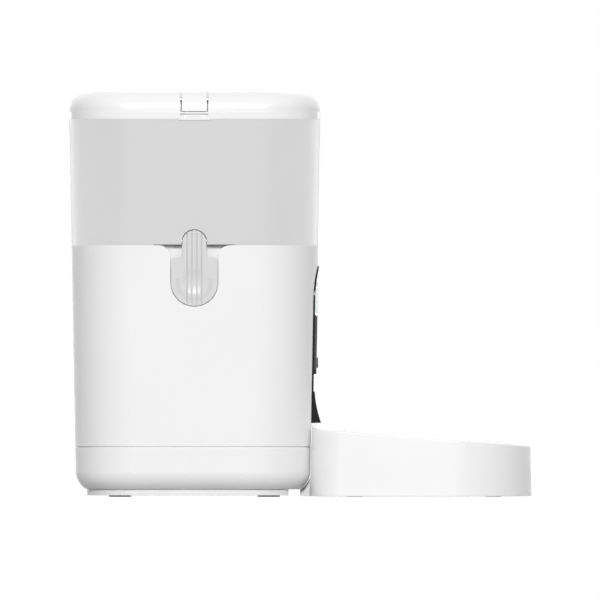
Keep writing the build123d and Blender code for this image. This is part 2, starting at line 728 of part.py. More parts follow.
ramp_edge = drum_y - 8.0
ramp_foot = column_y - throat_half + hopper_wall + loose_gap
with BuildPart() as baffle_ramp:
    extrude(throat_plan(tub_high + drum_cover, hopper_wall + loose_gap), amount=11)
    with BuildSketch(Plane.YZ) as ramp_profile:
        with BuildLine():
            Polyline((ramp_foot, tub_high), (ramp_edge, tub_high), (ramp_edge, tub_high + drum_cover),
                     (ramp_foot, tub_high + drum_cover + 10), close=True)
        make_face()
    extrude(amount=throat_half, both=True, mode=Mode.INTERSECT)

with BuildPart() as tub_cover:
    with BuildSketch(Plane.XY.offset(tub_high)):
        with Locations((0, drum_y)):
            Circle(drum_radius + drum_wall)
        with Locations(*tub_ears):
            Circle(4.5)
    extrude(amount=drum_cover)
    extrude(throat_plan(tub_high + drum_cover, -loose_gap - 2.0), amount=4.0)
    extrude(throat_plan(tub_high + drum_cover, -loose_gap), amount=4.0, mode=Mode.SUBTRACT)
    with BuildSketch(Plane.XY.offset(tub_high)):
        add(throat_plan(0, hopper_wall + loose_gap))
        with Locations((0, ramp_edge - throat_half)):
            Rectangle(4 * throat_half, 2 * throat_half, mode=Mode.SUBTRACT)
    extrude(amount=drum_cover, mode=Mode.SUBTRACT)
    add(baffle_ramp.part)
    with Locations(*[(x, y, tub_high) for x, y in tub_ears]):
        Cylinder(1.6, 4 * drum_cover, mode=Mode.SUBTRACT)
save("tub_cover", tub_cover.part)

with BuildPart() as throat_seal:
    extrude(throat_plan(tub_high + drum_cover), amount=throat_low - tub_high - drum_cover)
    extrude(throat_plan(tub_high + drum_cover, hopper_wall), amount=throat_low - tub_high - drum_cover,
            mode=Mode.SUBTRACT)
save("throat_seal", throat_seal.part)

with BuildPart() as shaft_bushing:
    with Locations((0, drum_y, drum_floor - drum_plate)):
        Cylinder(bushing_radius, drum_plate, align=(Align.CENTER, Align.CENTER, Align.MIN))
    with Locations((0, drum_y, drum_floor)):
        Cylinder(bushing_radius + 2.5, bushing_flange, align=(Align.CENTER, Align.CENTER, Align.MIN))
    with Locations((0, drum_y, drum_floor)):
        Cylinder(shaft_radius + pin_gap, 20, mode=Mode.SUBTRACT)
save("shaft_bushing", shaft_bushing.part)

# Portion wheel: hub and vanes that sweep the drum
wheel_low = drum_floor + bushing_flange + 0.3
vane_reach = drum_radius - vane_gap
with BuildPart() as portion_rotor:
    with Locations((0, drum_y, wheel_low)):
        Cylinder(hub_radius, tub_high - 2.0 - wheel_low, align=(Align.CENTER, Align.CENTER, Align.MIN))
    with Locations((0, drum_y, drum_floor + 0.8)):
        with PolarLocations((hub_radius + vane_reach) / 2 - 0.5, vane_count, start_angle=180 / vane_count):
            Box(vane_reach - hub_radius + 1.0, vane_thickness, tub_high - 2.8 - drum_floor,
                align=(Align.CENTER, Align.CENTER, Align.MIN))
    with Locations((0, drum_y, drum_floor)):
        Cylinder(shaft_radius, 4 * drum_height, mode=Mode.SUBTRACT)
save("portion_rotor", portion_rotor.part)

with BuildPart() as rotor_shaft:
    with Locations((0, drum_y, gear_cover_low + 1.0)):
        Cylinder(shaft_radius, tub_high - 4.0 - gear_cover_low, align=(Align.CENTER, Align.CENTER, Align.MIN))
    chamfer(rotor_shaft.edges().filter_by(GeomType.CIRCLE), 0.5)
save("rotor_shaft", rotor_shaft.part)


def involute_point(base, radius, phase):
    """Point of an involute at a radius, turned by a phase angle."""
    spread = sqrt((radius / base) ** 2 - 1)
    angle = phase + spread - atan(spread)
    return Vector(radius * cos(angle), radius * sin(angle))


def gear_outline(teeth, centre_y, tooth_angle):
    """Spur gear outline with involute flanks; one tooth points along tooth_angle degrees."""
    pitch = gear_module * teeth / 2
    base = pitch * cos(radians(20))
    tip = pitch + gear_module * 0.95
    root = pitch - gear_module * 1.2
    flank_low = max(base * 1.0005, root)
    spread = sqrt((pitch / base) ** 2 - 1)
    half_tooth = pi / (2 * teeth) - gear_backlash / (4 * pitch)
    phase = -(half_tooth + spread - atan(spread))
    right = [involute_point(base, radius, phase) for radius in (flank_low, pitch, tip)]
    left = [Vector(point.X, -point.Y) for point in right]
    step = 360 / teeth
    foot_angle = abs(degrees(atan(right[0].Y / right[0].X)))
    right_foot = Vector(root, 0).rotate(Axis.Z, -foot_angle)
    left_foot = Vector(root, 0).rotate(Axis.Z, foot_angle)
    next_foot = Vector(root, 0).rotate(Axis.Z, step - foot_angle)
    with BuildLine() as tooth:
        Line(right_foot, right[0])
        ThreePointArc(*right)
        Line(right[2], left[2])
        ThreePointArc(*reversed(left))
        Polyline(left[0], left_foot, next_foot)
    with BuildSketch(Plane.XY.offset(gear_low)) as outline:
        with Locations((0, centre_y)):
            with PolarLocations(0, teeth, start_angle=tooth_angle):
                add(tooth.line)
        make_face()
    return outline.sketch


rotor_tooth = 90.0
idler_tooth = 270.0 - 180.0 / idler_teeth
pinion_tooth = 270.0

with BuildPart() as rotor_gear:
    extrude(gear_outline(rotor_teeth, drum_y, rotor_tooth), amount=gear_face)
    with Locations((0, drum_y, gear_low)):
        Cylinder(7.5, drum_floor - drum_plate - 0.4 - gear_low, align=(Align.CENTER, Align.CENTER, Align.MIN))
    with Locations((0, drum_y, gear_low)):
        Cylinder(shaft_radius, 40, mode=Mode.SUBTRACT)
save("rotor_gear", rotor_gear.part)

with BuildPart() as idler_gear:
    extrude(gear_outline(idler_teeth, idler_y, idler_tooth), amount=gear_face)
    with Locations((0, idler_y, gear_low + gear_face)):
        Cylinder(20.0, 5.0, mode=Mode.SUBTRACT)
    with Locations((0, idler_y, gear_cover_low + gear_cover_wall + 0.4)):
        Cylinder(5.0, drum_floor - drum_plate - 0.8 - gear_cover_low - gear_cover_wall,
                 align=(Align.CENTER, Align.CENTER, Align.MIN))
    with Locations((0, idler_y, gear_low)):
        with PolarLocations(13.0, 6):
            Cylinder(3.6, 40, mode=Mode.SUBTRACT)
        Cylinder(idler_pin_radius + pin_gap, 40, mode=Mode.SUBTRACT)
save("idler_gear", idler_gear.part)

with BuildPart() as idler_pin:
    with Locations((0, idler_y, gear_cover_low)):
        Cylinder(idler_pin_radius, drum_floor - gear_cover_low, align=(Align.CENTER, Align.CENTER, Align.MIN))
save("idler_pin", idler_pin.part)

with BuildPart() as motor_pinion:
    extrude(gear_outline(pinion_teeth, pinion_y, pinion_tooth), amount=gear_face)
    with Locations((0, pinion_y, gear_low)):
        Cylinder(motor_shaft_radius, 40, mode=Mode.SUBTRACT)
save("motor_pinion", motor_pinion.part)

shaft_socket = 9.0
with BuildPart() as motor_shaft:
    with Locations((0, pinion_y, gear_low - 1.5)):
        Cylinder(motor_shaft_radius, drum_floor + shaft_socket - 0.5 - gear_low + 1.5,
                 align=(Align.CENTER, Align.CENTER, Align.MIN))
save("motor_shaft", motor_shaft.part)

with BuildPart() as drive_motor:
    with Locations((0, pinion_y, drum_floor)):
        Cylinder(gearbox_radius, gearbox_height, align=(Align.CENTER, Align.CENTER, Align.MIN))
        Box(2 * gearbox_radius + 16, 10, 2.5, align=(Align.CENTER, Align.CENTER, Align.MIN))
    with Locations((0, pinion_y, drum_floor + gearbox_height)):
        Cylinder(motor_radius, motor_height, align=(Align.CENTER, Align.CENTER, Align.MIN))
    with Locations((0, pinion_y, drum_floor + gearbox_height + motor_height)):
        Cylinder(4.5, 2.0, align=(Align.CENTER, Align.CENTER, Align.MIN))
        with GridLocations(17, 0, 2, 1):
            Box(0.8, 2.6, 4.0, align=(Align.CENTER, Align.CENTER, Align.MIN))
    fillet(drive_motor.edges().filter_by(GeomType.CIRCLE).group_by(Axis.Z)[-2], 1.0)
    with Locations((0, pinion_y, drum_floor)):
        Cylinder(motor_shaft_radius + pin_gap, 2 * shaft_socket, mode=Mode.SUBTRACT)
    with Locations(*[(x, y, drum_floor) for x, y in motor_screw_places]):
        Cylinder(1.4, 20, mode=Mode.SUBTRACT)
save("drive_motor", drive_motor.part)


def gear_cover_outline(height, grow):
    """Outline round the three gears, with straight sides between neighbours."""
    with BuildSketch(Plane.XY.offset(height)) as outline:
        for centre, teeth in gear_covers:
            with Locations((0, centre)):
                Circle(gear_module * (teeth / 2 + 1) + gear_cover_gap + grow)
        with Locations((0, (drum_y + pinion_y) / 2)):
            Rectangle(2 * (gear_module * (pinion_teeth / 2 + 1) + gear_cover_gap + grow), pinion_y - drum_y)
    return outline.sketch


with BuildPart() as gear_cover:
    extrude(gear_cover_outline(gear_cover_low, gear_cover_wall), amount=chute_top - gear_cover_low)
    with BuildSketch(Plane.XY.offset(chute_top - 4.0)):
        with Locations(*gear_screw_places):
            Circle(4.0)
    extrude(amount=4.0)
    extrude(gear_cover_outline(gear_cover_low + gear_cover_wall, 0), amount=40, mode=Mode.SUBTRACT)
    with Locations((0, drum_y, gear_cover_low)):
        Cylinder(shaft_radius + 2.5, 4.5, align=(Align.CENTER, Align.CENTER, Align.MIN))
    with Locations((0, drum_y, gear_cover_low)):
        Cylinder(shaft_radius + pin_gap, 40, mode=Mode.SUBTRACT)
    with Locations((0, idler_y, gear_cover_low)):
        Cylinder(idler_pin_radius, 40, mode=Mode.SUBTRACT)
    with Locations(*[(x, y, chute_top) for x, y in gear_screw_places]):
        Cylinder(1.6, 20, mode=Mode.SUBTRACT)
save("gear_cover", gear_cover.part)

# Hopper: hazy bin on a white funnel with a nested skirt and a throat, let in at both levers
recess_back = pocket_back - pocket_wall - 0.6
recess_half = lever_half_width + lever_window_gap + pocket_margin + pocket_wall + window_flare + 0.8
recess_top = body_top + 0.5
arm_middle = arm_top - arm_half_width
lever_pivot_height = arm_top - lever_pivot_drop
arm_slot_gap = 0.6
pivot_x = half_width(lever_pivot_height) - lever_pivot_inset
slot_back = pivot_x - lever_barrel - 0.5
ear_width = 4.0
skirt_inset = shell_wall + loose_gap
tongue_inset = hopper_wall / 2
tongue_top = (collar_low + collar_high) / 2
lip_thickness = 1.6
slit_width = 0.9
slit_length = 5.0
slit_depth = 0.7
slit_offset = arm_half_width + 1.5


def arm_outline(grow):
    """Side view of the lever's arm and domed end, grown on all sides."""
    half = arm_half_width + grow
    with BuildSketch(Plane.YZ) as outline:
        with Locations((column_y, arm_middle)):
            Circle(half)
        with Locations((column_y, arm_middle - 20)):
            Rectangle(2 * half, 40)
    return outline.sketch


with BuildPart() as recess_walls:
    for side in sides.values():
        with Locations((side * (recess_back - hopper_wall + body_reach / 2), column_y, recess_top / 2 + hopper_wall)):
            Box(body_reach, 2 * (recess_half + hopper_wall), recess_top)
        add(side_block(arm_outline(arm_slot_gap + ear_width), side, slot_back - hopper_wall))

with BuildPart() as recesses:
    for side in sides.values():
        with Locations((side * (recess_back + body_reach / 2), column_y, recess_top / 2)):
            Box(body_reach, 2 * recess_half, recess_top)
        add(side_block(arm_outline(arm_slot_gap), side, slot_back))

with BuildPart() as hopper_inside:
    add(column_form(body_top + hopper_wall, tongue_top + 1, hopper_wall))
    add(column_form(skirt_low, body_top + hopper_wall, skirt_inset + hopper_wall))
    loft([column_plan(skirt_low, skirt_inset + hopper_wall), throat_plan(funnel_low, hopper_wall)])
    extrude(throat_plan(throat_low - 1, hopper_wall), amount=funnel_low - throat_low + 1)
    add(recess_walls.part, mode=Mode.SUBTRACT)

with BuildPart() as weld_lip:
    add(column_form(skirt_low + 1.0, body_top, skirt_inset + hopper_wall / 2))
    add(column_form(body_top, body_top + hopper_wall, skirt_inset + hopper_wall))
    add(column_form(skirt_low, body_top + 2 * hopper_wall, skirt_inset + hopper_wall + lip_thickness),
        mode=Mode.SUBTRACT)
    add(recess_walls.part, mode=Mode.SUBTRACT)

with BuildPart() as hopper_funnel:
    add(column_form(skirt_low, body_top, skirt_inset))
    loft([column_plan(skirt_low, skirt_inset), throat_plan(funnel_low)])
    extrude(throat_plan(throat_low), amount=funnel_low - throat_low)
    add(hopper_inside.part, mode=Mode.SUBTRACT)
    add(recesses.part, mode=Mode.SUBTRACT)
    add(weld_lip.part)
    for side in sides.values():
        with Locations((side * recess_back, column_y, lever_shoulder + slit_length)):
            with GridLocations(0, 2 * slit_offset, 1, 2):
                Box(2 * slit_depth, slit_width, slit_length, mode=Mode.SUBTRACT)
save("hopper_funnel", hopper_funnel.part)

with BuildPart() as hopper_bin:
    add(column_form(body_top, collar_low))
    add(column_form(collar_low, tongue_top, tongue_inset))
    add(hopper_inside.part, mode=Mode.SUBTRACT)
    add(recesses.part, mode=Mode.SUBTRACT)
    for side in sides.values():
        with Locations(Location((side * pivot_x, column_y, lever_pivot_height), (90, 0, 0))):
            Cylinder(lever_pin_radius, 2 * (arm_half_width + arm_slot_gap + ear_width - 0.5), mode=Mode.SUBTRACT)
save("hopper_bin", hopper_bin.part)

with BuildPart() as collar_catches:
    add(column_form(collar_low - catch_drop, collar_high, -catch_proud))
    with Locations((0, column_y, collar_low)):
        Box(body_reach, 2 * catch_half_width, body_reach, mode=Mode.INTERSECT)
    add(column_form(collar_low - 2 * catch_drop, collar_high + 1), mode=Mode.SUBTRACT)

with BuildPart() as hopper_collar:
    add(column_form(collar_low, collar_high))
    add(collar_catches.part)
    add(column_form(collar_low, tongue_top, tongue_inset), mode=Mode.SUBTRACT)
    add(column_form(collar_low, collar_high + 1, hopper_wall), mode=Mode.SUBTRACT)
    for side in sides.values():
        with Locations((side * (half_width(collar_high) + 0.5), column_y, collar_low + 2.6)):
            Box(3.0, 2 * (latch_half_width + latch_gap), 2.6, mode=Mode.SUBTRACT)
save("hopper_collar", hopper_collar.part)

with BuildPart() as lever_pins:
    for side in sides.values():
        with Locations(Location((side * pivot_x, column_y, lever_pivot_height), (90, 0, 0))):
            Cylinder(lever_pin_radius, 2 * (arm_half_width + arm_slot_gap + ear_width - 0.5))
save("lever_pins", lever_pins.part)

# Release levers: a round-ended paddle below, a ribbed arm and a domed end above
with BuildSketch(Plane.YZ) as lever_outline:
    with Locations((column_y, lever_low + lever_half_width)):
        Circle(lever_half_width)
    with Locations((column_y, (lever_low + lever_half_width + lever_shoulder) / 2)):
        Rectangle(2 * lever_half_width, lever_shoulder - lever_low - lever_half_width)
    fillet(lever_outline.vertices().group_by(Axis.Y)[-1], 4.0)
    with Locations((column_y, arm_middle)):
        Circle(arm_half_width)
    with Locations((column_y, (arm_middle + lever_low + lever_half_width) / 2)):
        Rectangle(2 * arm_half_width, arm_middle - lever_low - lever_half_width)

with BuildPart() as lever_skin:
    add(column_form(lever_low - 5, arm_top + 5, 0.1))
    add(column_form(lever_low - 5, arm_top + 5, 0.1 + lever_thickness), mode=Mode.SUBTRACT)

rib_depth = 0.8
dish_radius = 60.0
dish_depth = 1.0
for name, side in sides.items():
    with BuildPart() as rib_grooves:
        with BuildSketch(Plane.YZ):
            with Locations((column_y, (lever_low + arm_top) / 2)):
                with GridLocations(rib_pitch, 0, 4, 1):
                    Rectangle(0.9, arm_top - lever_low - 5.0)
        extrude(amount=side * body_reach)
        add(column_form(lever_low - 5, arm_top + 5, 0.1 + rib_depth), mode=Mode.SUBTRACT)
    with BuildPart() as release_lever:
        extrude(lever_outline.sketch, amount=side * body_reach)
        add(lever_skin.part, mode=Mode.INTERSECT)
        add(rib_grooves.part, mode=Mode.SUBTRACT)
        dish_height = lever_low + lever_half_width
        with Locations((side * (half_width(dish_height) - dish_depth + dish_radius), column_y, dish_height)):
            Sphere(dish_radius, mode=Mode.SUBTRACT)
        with Locations(Location((side * pivot_x, column_y, lever_pivot_height), (90, 0, 0))):
            Cylinder(lever_barrel, 2 * (arm_half_width - 1.2))
        with Locations(Location((side * pivot_x, column_y, lever_pivot_height), (90, 0, 0))):
            Cylinder(lever_pin_radius + pin_gap, 4 * arm_half_width, mode=Mode.SUBTRACT)
    save(f"release_lever_{name}", release_lever.part)

# Lid: rounded cover with a notch for each latch, an inner lid, a seal and the drying box
lid_half = half_width(collar_high) - lid_setback
notch_half = latch_half_width + latch_gap
notch_back = lid_half - latch_reach - latch_back_gap
latch_pivot_x = lid_half - latch_pivot_inset
lid_top = collar_high + lid_height
latch_pivot_height = lid_top - latch_pivot_drop


def lid_form(inset=0.0):
    """Solid lid with a large rounded top edge, drawn inside itself by an inset."""
    with BuildPart() as form:
        extrude(column_plan(collar_high, lid_setback + inset), amount=lid_height - inset)
        fillet(form.faces().sort_by(Axis.Z)[-1].edges(), lid_round - inset)
    return form.part


with BuildPart() as latch_blocks:
    for side in sides.values():
        with Locations((side * (notch_back - lid_wall + body_reach / 2), column_y, collar_high)):
            Box(body_reach, 2 * (notch_half + lid_wall), 2 * lid_height)
    add(lid_form(), mode=Mode.INTERSECT)

with BuildPart() as lid_cover:
    add(lid_form())
    add(lid_form(lid_wall), mode=Mode.SUBTRACT)
    add(latch_blocks.part)
    for side in sides.values():
        with Locations((side * (notch_back + body_reach / 2), column_y, collar_high)):
            Box(body_reach, 2 * notch_half, 3 * lid_height, mode=Mode.SUBTRACT)
        with Locations(Location((side * latch_pivot_x, column_y, latch_pivot_height), (90, 0, 0))):
            Cylinder(latch_pin_radius, 2 * (notch_half + lid_wall - 0.4), mode=Mode.SUBTRACT)
save("lid_cover", lid_cover.part)

with BuildPart() as latch_pins:
    for side in sides.values():
        with Locations(Location((side * latch_pivot_x, column_y, latch_pivot_height), (90, 0, 0))):
            Cylinder(latch_pin_radius, 2 * (notch_half + lid_wall - 0.4))
save("latch_pins", latch_pins.part)

latch_low = collar_high + 0.5
for name, side in sides.items():
    with BuildPart() as lid_latch:
        add(lid_form(0.05))
        add(lid_form(latch_thickness), mode=Mode.SUBTRACT)
        with Locations((side * (lid_half - latch_reach + body_reach / 2), column_y, latch_low + lid_height)):
            Box(body_reach, 2 * latch_half_width, 2 * lid_height, mode=Mode.INTERSECT)
        with Locations(Location((side * latch_pivot_x, column_y, latch_pivot_height), (90, 0, 0))):
            Cylinder(latch_barrel, 2 * latch_half_width)
        with Locations(Location((side * latch_pivot_x, column_y, latch_pivot_height), (90, 0, 0))):
            Cylinder(latch_pin_radius + pin_gap, 4 * latch_half_width, mode=Mode.SUBTRACT)
    save(f"lid_latch_{name}", lid_latch.part)

liner_plate_low = collar_high + 0.4
with BuildPart() as gasket_groove:
    extrude(column_plan(gasket_low, liner_plug_inset - 1), amount=gasket_height)
    extrude(column_plan(gasket_low, liner_plug_inset + gasket_depth), amount=gasket_height,
            mode=Mode.SUBTRACT)

with BuildPart() as liner_plug:
    extrude(column_plan(liner_plug_low, liner_plug_inset), amount=liner_plate_low - liner_plug_low)
    extrude(column_plan(liner_plug_low, liner_plug_inset + liner_plug_wall),
            amount=liner_plate_low - liner_plug_low, mode=Mode.SUBTRACT)
    add(gasket_groove.part, mode=Mode.SUBTRACT)
    for side in sides.values():
        with Locations((side * (notch_back - lid_wall - fit_gap + body_reach / 2), column_y, lid_top)):
            Box(body_reach, 2 * (notch_half + lid_wall + fit_gap), 2 * lid_height + 0.2, mode=Mode.SUBTRACT)

with BuildPart() as lid_liner:
    extrude(column_plan(liner_plate_low, lid_setback + lid_wall + fit_gap), amount=2.0)
    for side in sides.values():
        with Locations((side * (notch_back - lid_wall - fit_gap + body_reach / 2), column_y, collar_high)):
            Box(body_reach, 2 * (notch_half + lid_wall + fit_gap), lid_height, mode=Mode.SUBTRACT)
    add(liner_plug.part)
save("lid_liner", lid_liner.part)

with BuildPart() as lid_gasket:
    extrude(column_plan(gasket_low, hopper_wall + 0.3), amount=gasket_height)
    extrude(column_plan(gasket_low, liner_plug_inset + gasket_depth), amount=gasket_height,
            mode=Mode.SUBTRACT)
save("lid_gasket", lid_gasket.part)

with BuildPart() as desiccant_box:
    with Locations((0, column_y, liner_plate_low)):
        Cylinder(drying_radius, liner_plate_low - drying_low, align=(Align.CENTER, Align.CENTER, Align.MAX))
    with Locations((0, column_y, liner_plate_low - drying_wall)):
        Cylinder(drying_radius - drying_wall, lid_height * 2, align=(Align.CENTER, Align.CENTER, Align.MAX),
                 mode=Mode.SUBTRACT)
save("desiccant_box", desiccant_box.part)

cap_gap = 0.3
with BuildPart() as desiccant_cap:
    with Locations((0, column_y, drying_low - 2.2)):
        Cylinder(drying_radius + cap_gap + drying_wall, 8.0, align=(Align.CENTER, Align.CENTER, Align.MIN))
    with Locations((0, column_y, drying_low - cap_gap)):
        Cylinder(drying_radius + cap_gap, 20.0, align=(Align.CENTER, Align.CENTER, Align.MIN),
                 mode=Mode.SUBTRACT)
    with BuildSketch(Plane.XY.offset(drying_low - 3.0)):
        with Locations((0, column_y)):
            with GridLocations(0, 7.0, 1, 7):
                SlotOverall(34, 2.6)
    extrude(amount=4.0, mode=Mode.SUBTRACT)
save("desiccant_cap", desiccant_cap.part)

# Bowl stand: sloping shell, its floor with the docking tongue, its pads and the bowl
stand_slope = (stand_rear_height - stand_front_height) / (stand_rear - stand_front)


def stand_top(y):
    """Height of the stand's sloping top at a place along its depth."""
    return stand_front_height + (y - stand_front) * stand_slope


def stand_plan(height, inset=0.0):
    """The stand's outline at a height: large round corners in front, smaller ones behind."""
    lean = height * stand_draft / stand_rear_height
    front = stand_front + lean * 0.7 + inset
    rear = stand_rear - lean - inset
    half = stand_half_width - lean - inset
    crown = stand_crown
    with BuildSketch(Plane.XY.offset(height)) as plan:
        with BuildLine():
            ThreePointArc((-half + crown, front + crown), (0, front), (half - crown, front + crown))
            ThreePointArc((half - crown, front + crown), (half, (front + rear) / 2), (half - crown, rear))
            Line((half - crown, rear), (-half + crown, rear))
            ThreePointArc((-half + crown, rear), (-half, (front + rear) / 2), (-half + crown, front + crown))
        make_face()
        fillet(plan.vertices().group_by(Axis.Y)[-1], stand_rear_corner - inset)
        fillet(plan.vertices().sort_by(Axis.Y)[:2], stand_front_corner - inset)
    return plan.sketch


def stand_form(low, inset=0.0, drop=0.0):
    """Solid stand cut off by its sloping top, lowered by a drop."""
    with BuildPart() as form:
        loft([stand_plan(low, inset), stand_plan(stand_rear_height + 8, inset)])
        with BuildSketch(Plane.YZ) as above:
            with BuildLine():
                Polyline((stand_front - 20, stand_top(stand_front - 20) - drop),
                         (stand_rear + 20, stand_top(stand_rear + 20) - drop),
                         (stand_rear + 20, 2 * body_top), (stand_front - 20, 2 * body_top), close=True)
            make_face()
        extrude(amount=body_reach, both=True, mode=Mode.SUBTRACT)
    return form.part


slope_angle = atan(stand_slope)
bowl_plane = Plane(origin=(0, bowl_y, stand_top(bowl_y)), x_dir=(1, 0, 0),
                   z_dir=(0, -sin(slope_angle), cos(slope_angle)))
seat_gap = 0.8
stand_floor_low = 0.4
stand_floor_high = 2.6

with BuildPart() as stand_posts:
    with Locations(*[(x, y, stand_floor_high) for x, y in stand_post_places]):
        Cylinder(3.5, stand_rear_height, align=(Align.CENTER, Align.CENTER, Align.MIN))
    add(stand_form(stand_low, 1.0, 1.0), mode=Mode.INTERSECT)

with BuildPart() as bowl_holder:
    add(stand_form(stand_low))
    fillet(bowl_holder.faces().sort_by(Axis.Z)[-1].edges(), stand_edge)
    add(stand_form(stand_low, stand_wall, stand_wall), mode=Mode.SUBTRACT)
    add(stand_posts.part)
    with BuildSketch(bowl_plane.offset(-bowl_seat_depth - 2.4)):
        Circle(bowl_rim_radius + seat_gap + 2.4)
    extrude(amount=2.4 + bowl_seat_depth - 0.5)
    with BuildSketch(bowl_plane.offset(-bowl_seat_depth - 10)):
        Circle(bowl_mouth_radius + seat_gap + 2.0)
    extrude(amount=9)
    with BuildSketch(bowl_plane.offset(-60)):
        Circle(bowl_mouth_radius + seat_gap)
    extrude(amount=80, mode=Mode.SUBTRACT)
    with BuildSketch(bowl_plane.offset(-bowl_seat_depth)):
        Circle(bowl_rim_radius + seat_gap)
    extrude(amount=20, mode=Mode.SUBTRACT)
    with Locations((0, stand_rear, 0)):
        Box(2 * tongue_half_width + 1.0, 12, 2 * (stand_floor_high + 0.3), mode=Mode.SUBTRACT)
    with Locations(*[(x, y, stand_floor_high) for x, y in stand_post_places]):
        Cylinder(1.2, 24, mode=Mode.SUBTRACT)
save("bowl_holder", bowl_holder.part)

tongue_centre = Vector(front_y(base_round_top) + base_round, base_round_top)
tongue_radius = base_round + tongue_gap
tongue_end = 0.2
with BuildPart() as tongue_round:
    with BuildSketch(Plane.YZ):
        with Locations((tongue_centre.X, tongue_centre.Y)):
            Circle(tongue_radius)
    extrude(amount=body_reach, both=True)

with BuildPart() as holder_base:
    extrude(stand_plan(stand_floor_low, stand_wall + 0.3), amount=stand_floor_high - stand_floor_low)
    with Locations((0, stand_rear - 6, stand_floor_low)):
        Box(2 * tongue_half_width, tongue_end - stand_rear + 6, stand_floor_high - stand_floor_low,
            align=(Align.CENTER, Align.MIN, Align.MIN))
    with Locations((0, stand_rear + 0.1, stand_floor_low)):
        Box(2 * tongue_half_width, tongue_end - stand_rear - 0.1, base_round_top - 1.7 - stand_floor_low,
            align=(Align.CENTER, Align.MIN, Align.MIN))
    add(tongue_round.part, mode=Mode.SUBTRACT)
    with Locations(*[(x, y, stand_floor_low) for x, y in stand_foot_places]):
        Cylinder(6.1, 2.0, mode=Mode.SUBTRACT)
    with Locations(*[(x, y, stand_floor_low) for x, y in stand_post_places]):
        Cylinder(2.8, 2.2, mode=Mode.SUBTRACT)
        Cylinder(1.3, 12, mode=Mode.SUBTRACT)
save("holder_base", holder_base.part)

with BuildPart() as holder_feet:
    with Locations(*[(x, y, 0) for x, y in stand_foot_places]):
        Cylinder(6.0, stand_floor_low + 1.0, align=(Align.CENTER, Align.CENTER, Align.MIN))
save("holder_feet", holder_feet.part)

with BuildPart() as bowl_outside:
    with BuildSketch(Plane.XZ) as bowl_profile:
        with BuildLine():
            Line((0, 0), (bowl_mouth_radius, 0))
            Line((bowl_mouth_radius, 0), (bowl_mouth_radius - 2.0, -bowl_depth / 2))
            ThreePointArc((bowl_mouth_radius - 2.0, -bowl_depth / 2),
                          (bowl_floor_radius + 11.0, -bowl_depth + 5.2), (bowl_floor_radius, -bowl_depth))
            Polyline((bowl_floor_radius, -bowl_depth), (0, -bowl_depth), (0, 0))
        make_face()
    revolve(axis=Axis.Z)

with BuildPart() as bowl_inside:
    with BuildSketch(Plane.XZ) as hollow_profile:
        with BuildLine():
            inner = bowl_mouth_radius - bowl_steel
            Line((0, 1), (inner, 1))
            Line((inner, 1), (inner - 2.0, -bowl_depth / 2))
            ThreePointArc((inner - 2.0, -bowl_depth / 2),
                          (bowl_floor_radius + 10.4, -bowl_depth + 5.7),
                          (bowl_floor_radius, -bowl_depth + bowl_steel))
            Polyline((bowl_floor_radius, -bowl_depth + bowl_steel), (0, -bowl_depth + bowl_steel), (0, 1))
        make_face()
    revolve(axis=Axis.Z)

with BuildPart() as bowl_upright:
    add(bowl_outside.part)
    with BuildSketch(Plane.XZ) as rim_profile:
        with BuildLine():
            seat = -bowl_seat_depth
            edge = bowl_rim_radius
            Polyline((edge - 0.9, seat), (bowl_mouth_radius - 0.6, seat), (bowl_mouth_radius - 0.6, seat + 1.2),
                     (edge - 2.4, seat + 1.2), (edge - 0.9, seat + 1.8))
            ThreePointArc((edge - 0.9, seat + 1.8), (edge, seat + 0.9), (edge - 0.9, seat))
        make_face()
    revolve(axis=Axis.Z)
    with Locations((0, 0, -bowl_seat_depth + 1.2)):
        Cylinder(bowl_mouth_radius + 0.01, 20, align=(Align.CENTER, Align.CENTER, Align.MIN),
                 mode=Mode.SUBTRACT)
    add(bowl_inside.part, mode=Mode.SUBTRACT)
steel_bowl = bowl_plane.location * bowl_upright.part
save("steel_bowl", steel_bowl)

# Fasteners
save("base_screws", screws(body_boss_places, deck_low, 13, head=2.2, up=True))
save("floor_screws", screws(tray_posts, cover_floor_low + 1.2, 14, head=2.9, head_height=1.0, up=True))
save("tub_screws", screws(drum_posts, drum_floor, 14))
save("drum_screws", screws(tub_ears, tub_high + drum_cover, 12, shank=1.25))
save("gear_screws", screws(gear_screw_places, chute_top - 4.0, 6, shank=1.25, up=True))
save("motor_screws", screws(motor_screw_places, drum_floor + 2.5, 4.8, shank=1.25))
with BuildPart() as board_screws:
    add(screws(board_posts, board_low + board_thickness, 6, shank=1.0, head=2.2))
    with Locations(*[Location((x, front_board_y + board_thickness, z), (90, 0, 0)) for x, z in front_board_posts]):
        Cylinder(1.0, board_thickness + front_post_length - 0.4, align=(Align.CENTER, Align.CENTER, Align.MIN))
        Cylinder(2.2, 1.8, align=(Align.CENTER, Align.CENTER, Align.MAX))
save("board_screws", board_screws.part)
save("holder_screws", screws(stand_post_places, stand_floor_low + 1.1, 12, shank=1.2, head=2.5, head_height=0.9,
                             up=True))
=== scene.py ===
"""Looks of a smart pet feeder: a tall dispenser column with a docked bowl stand."""

import logging
import math
from dataclasses import dataclass, field
from enum import Enum
from typing import ClassVar

import bmesh
import bpy
from mathutils import Matrix, Vector


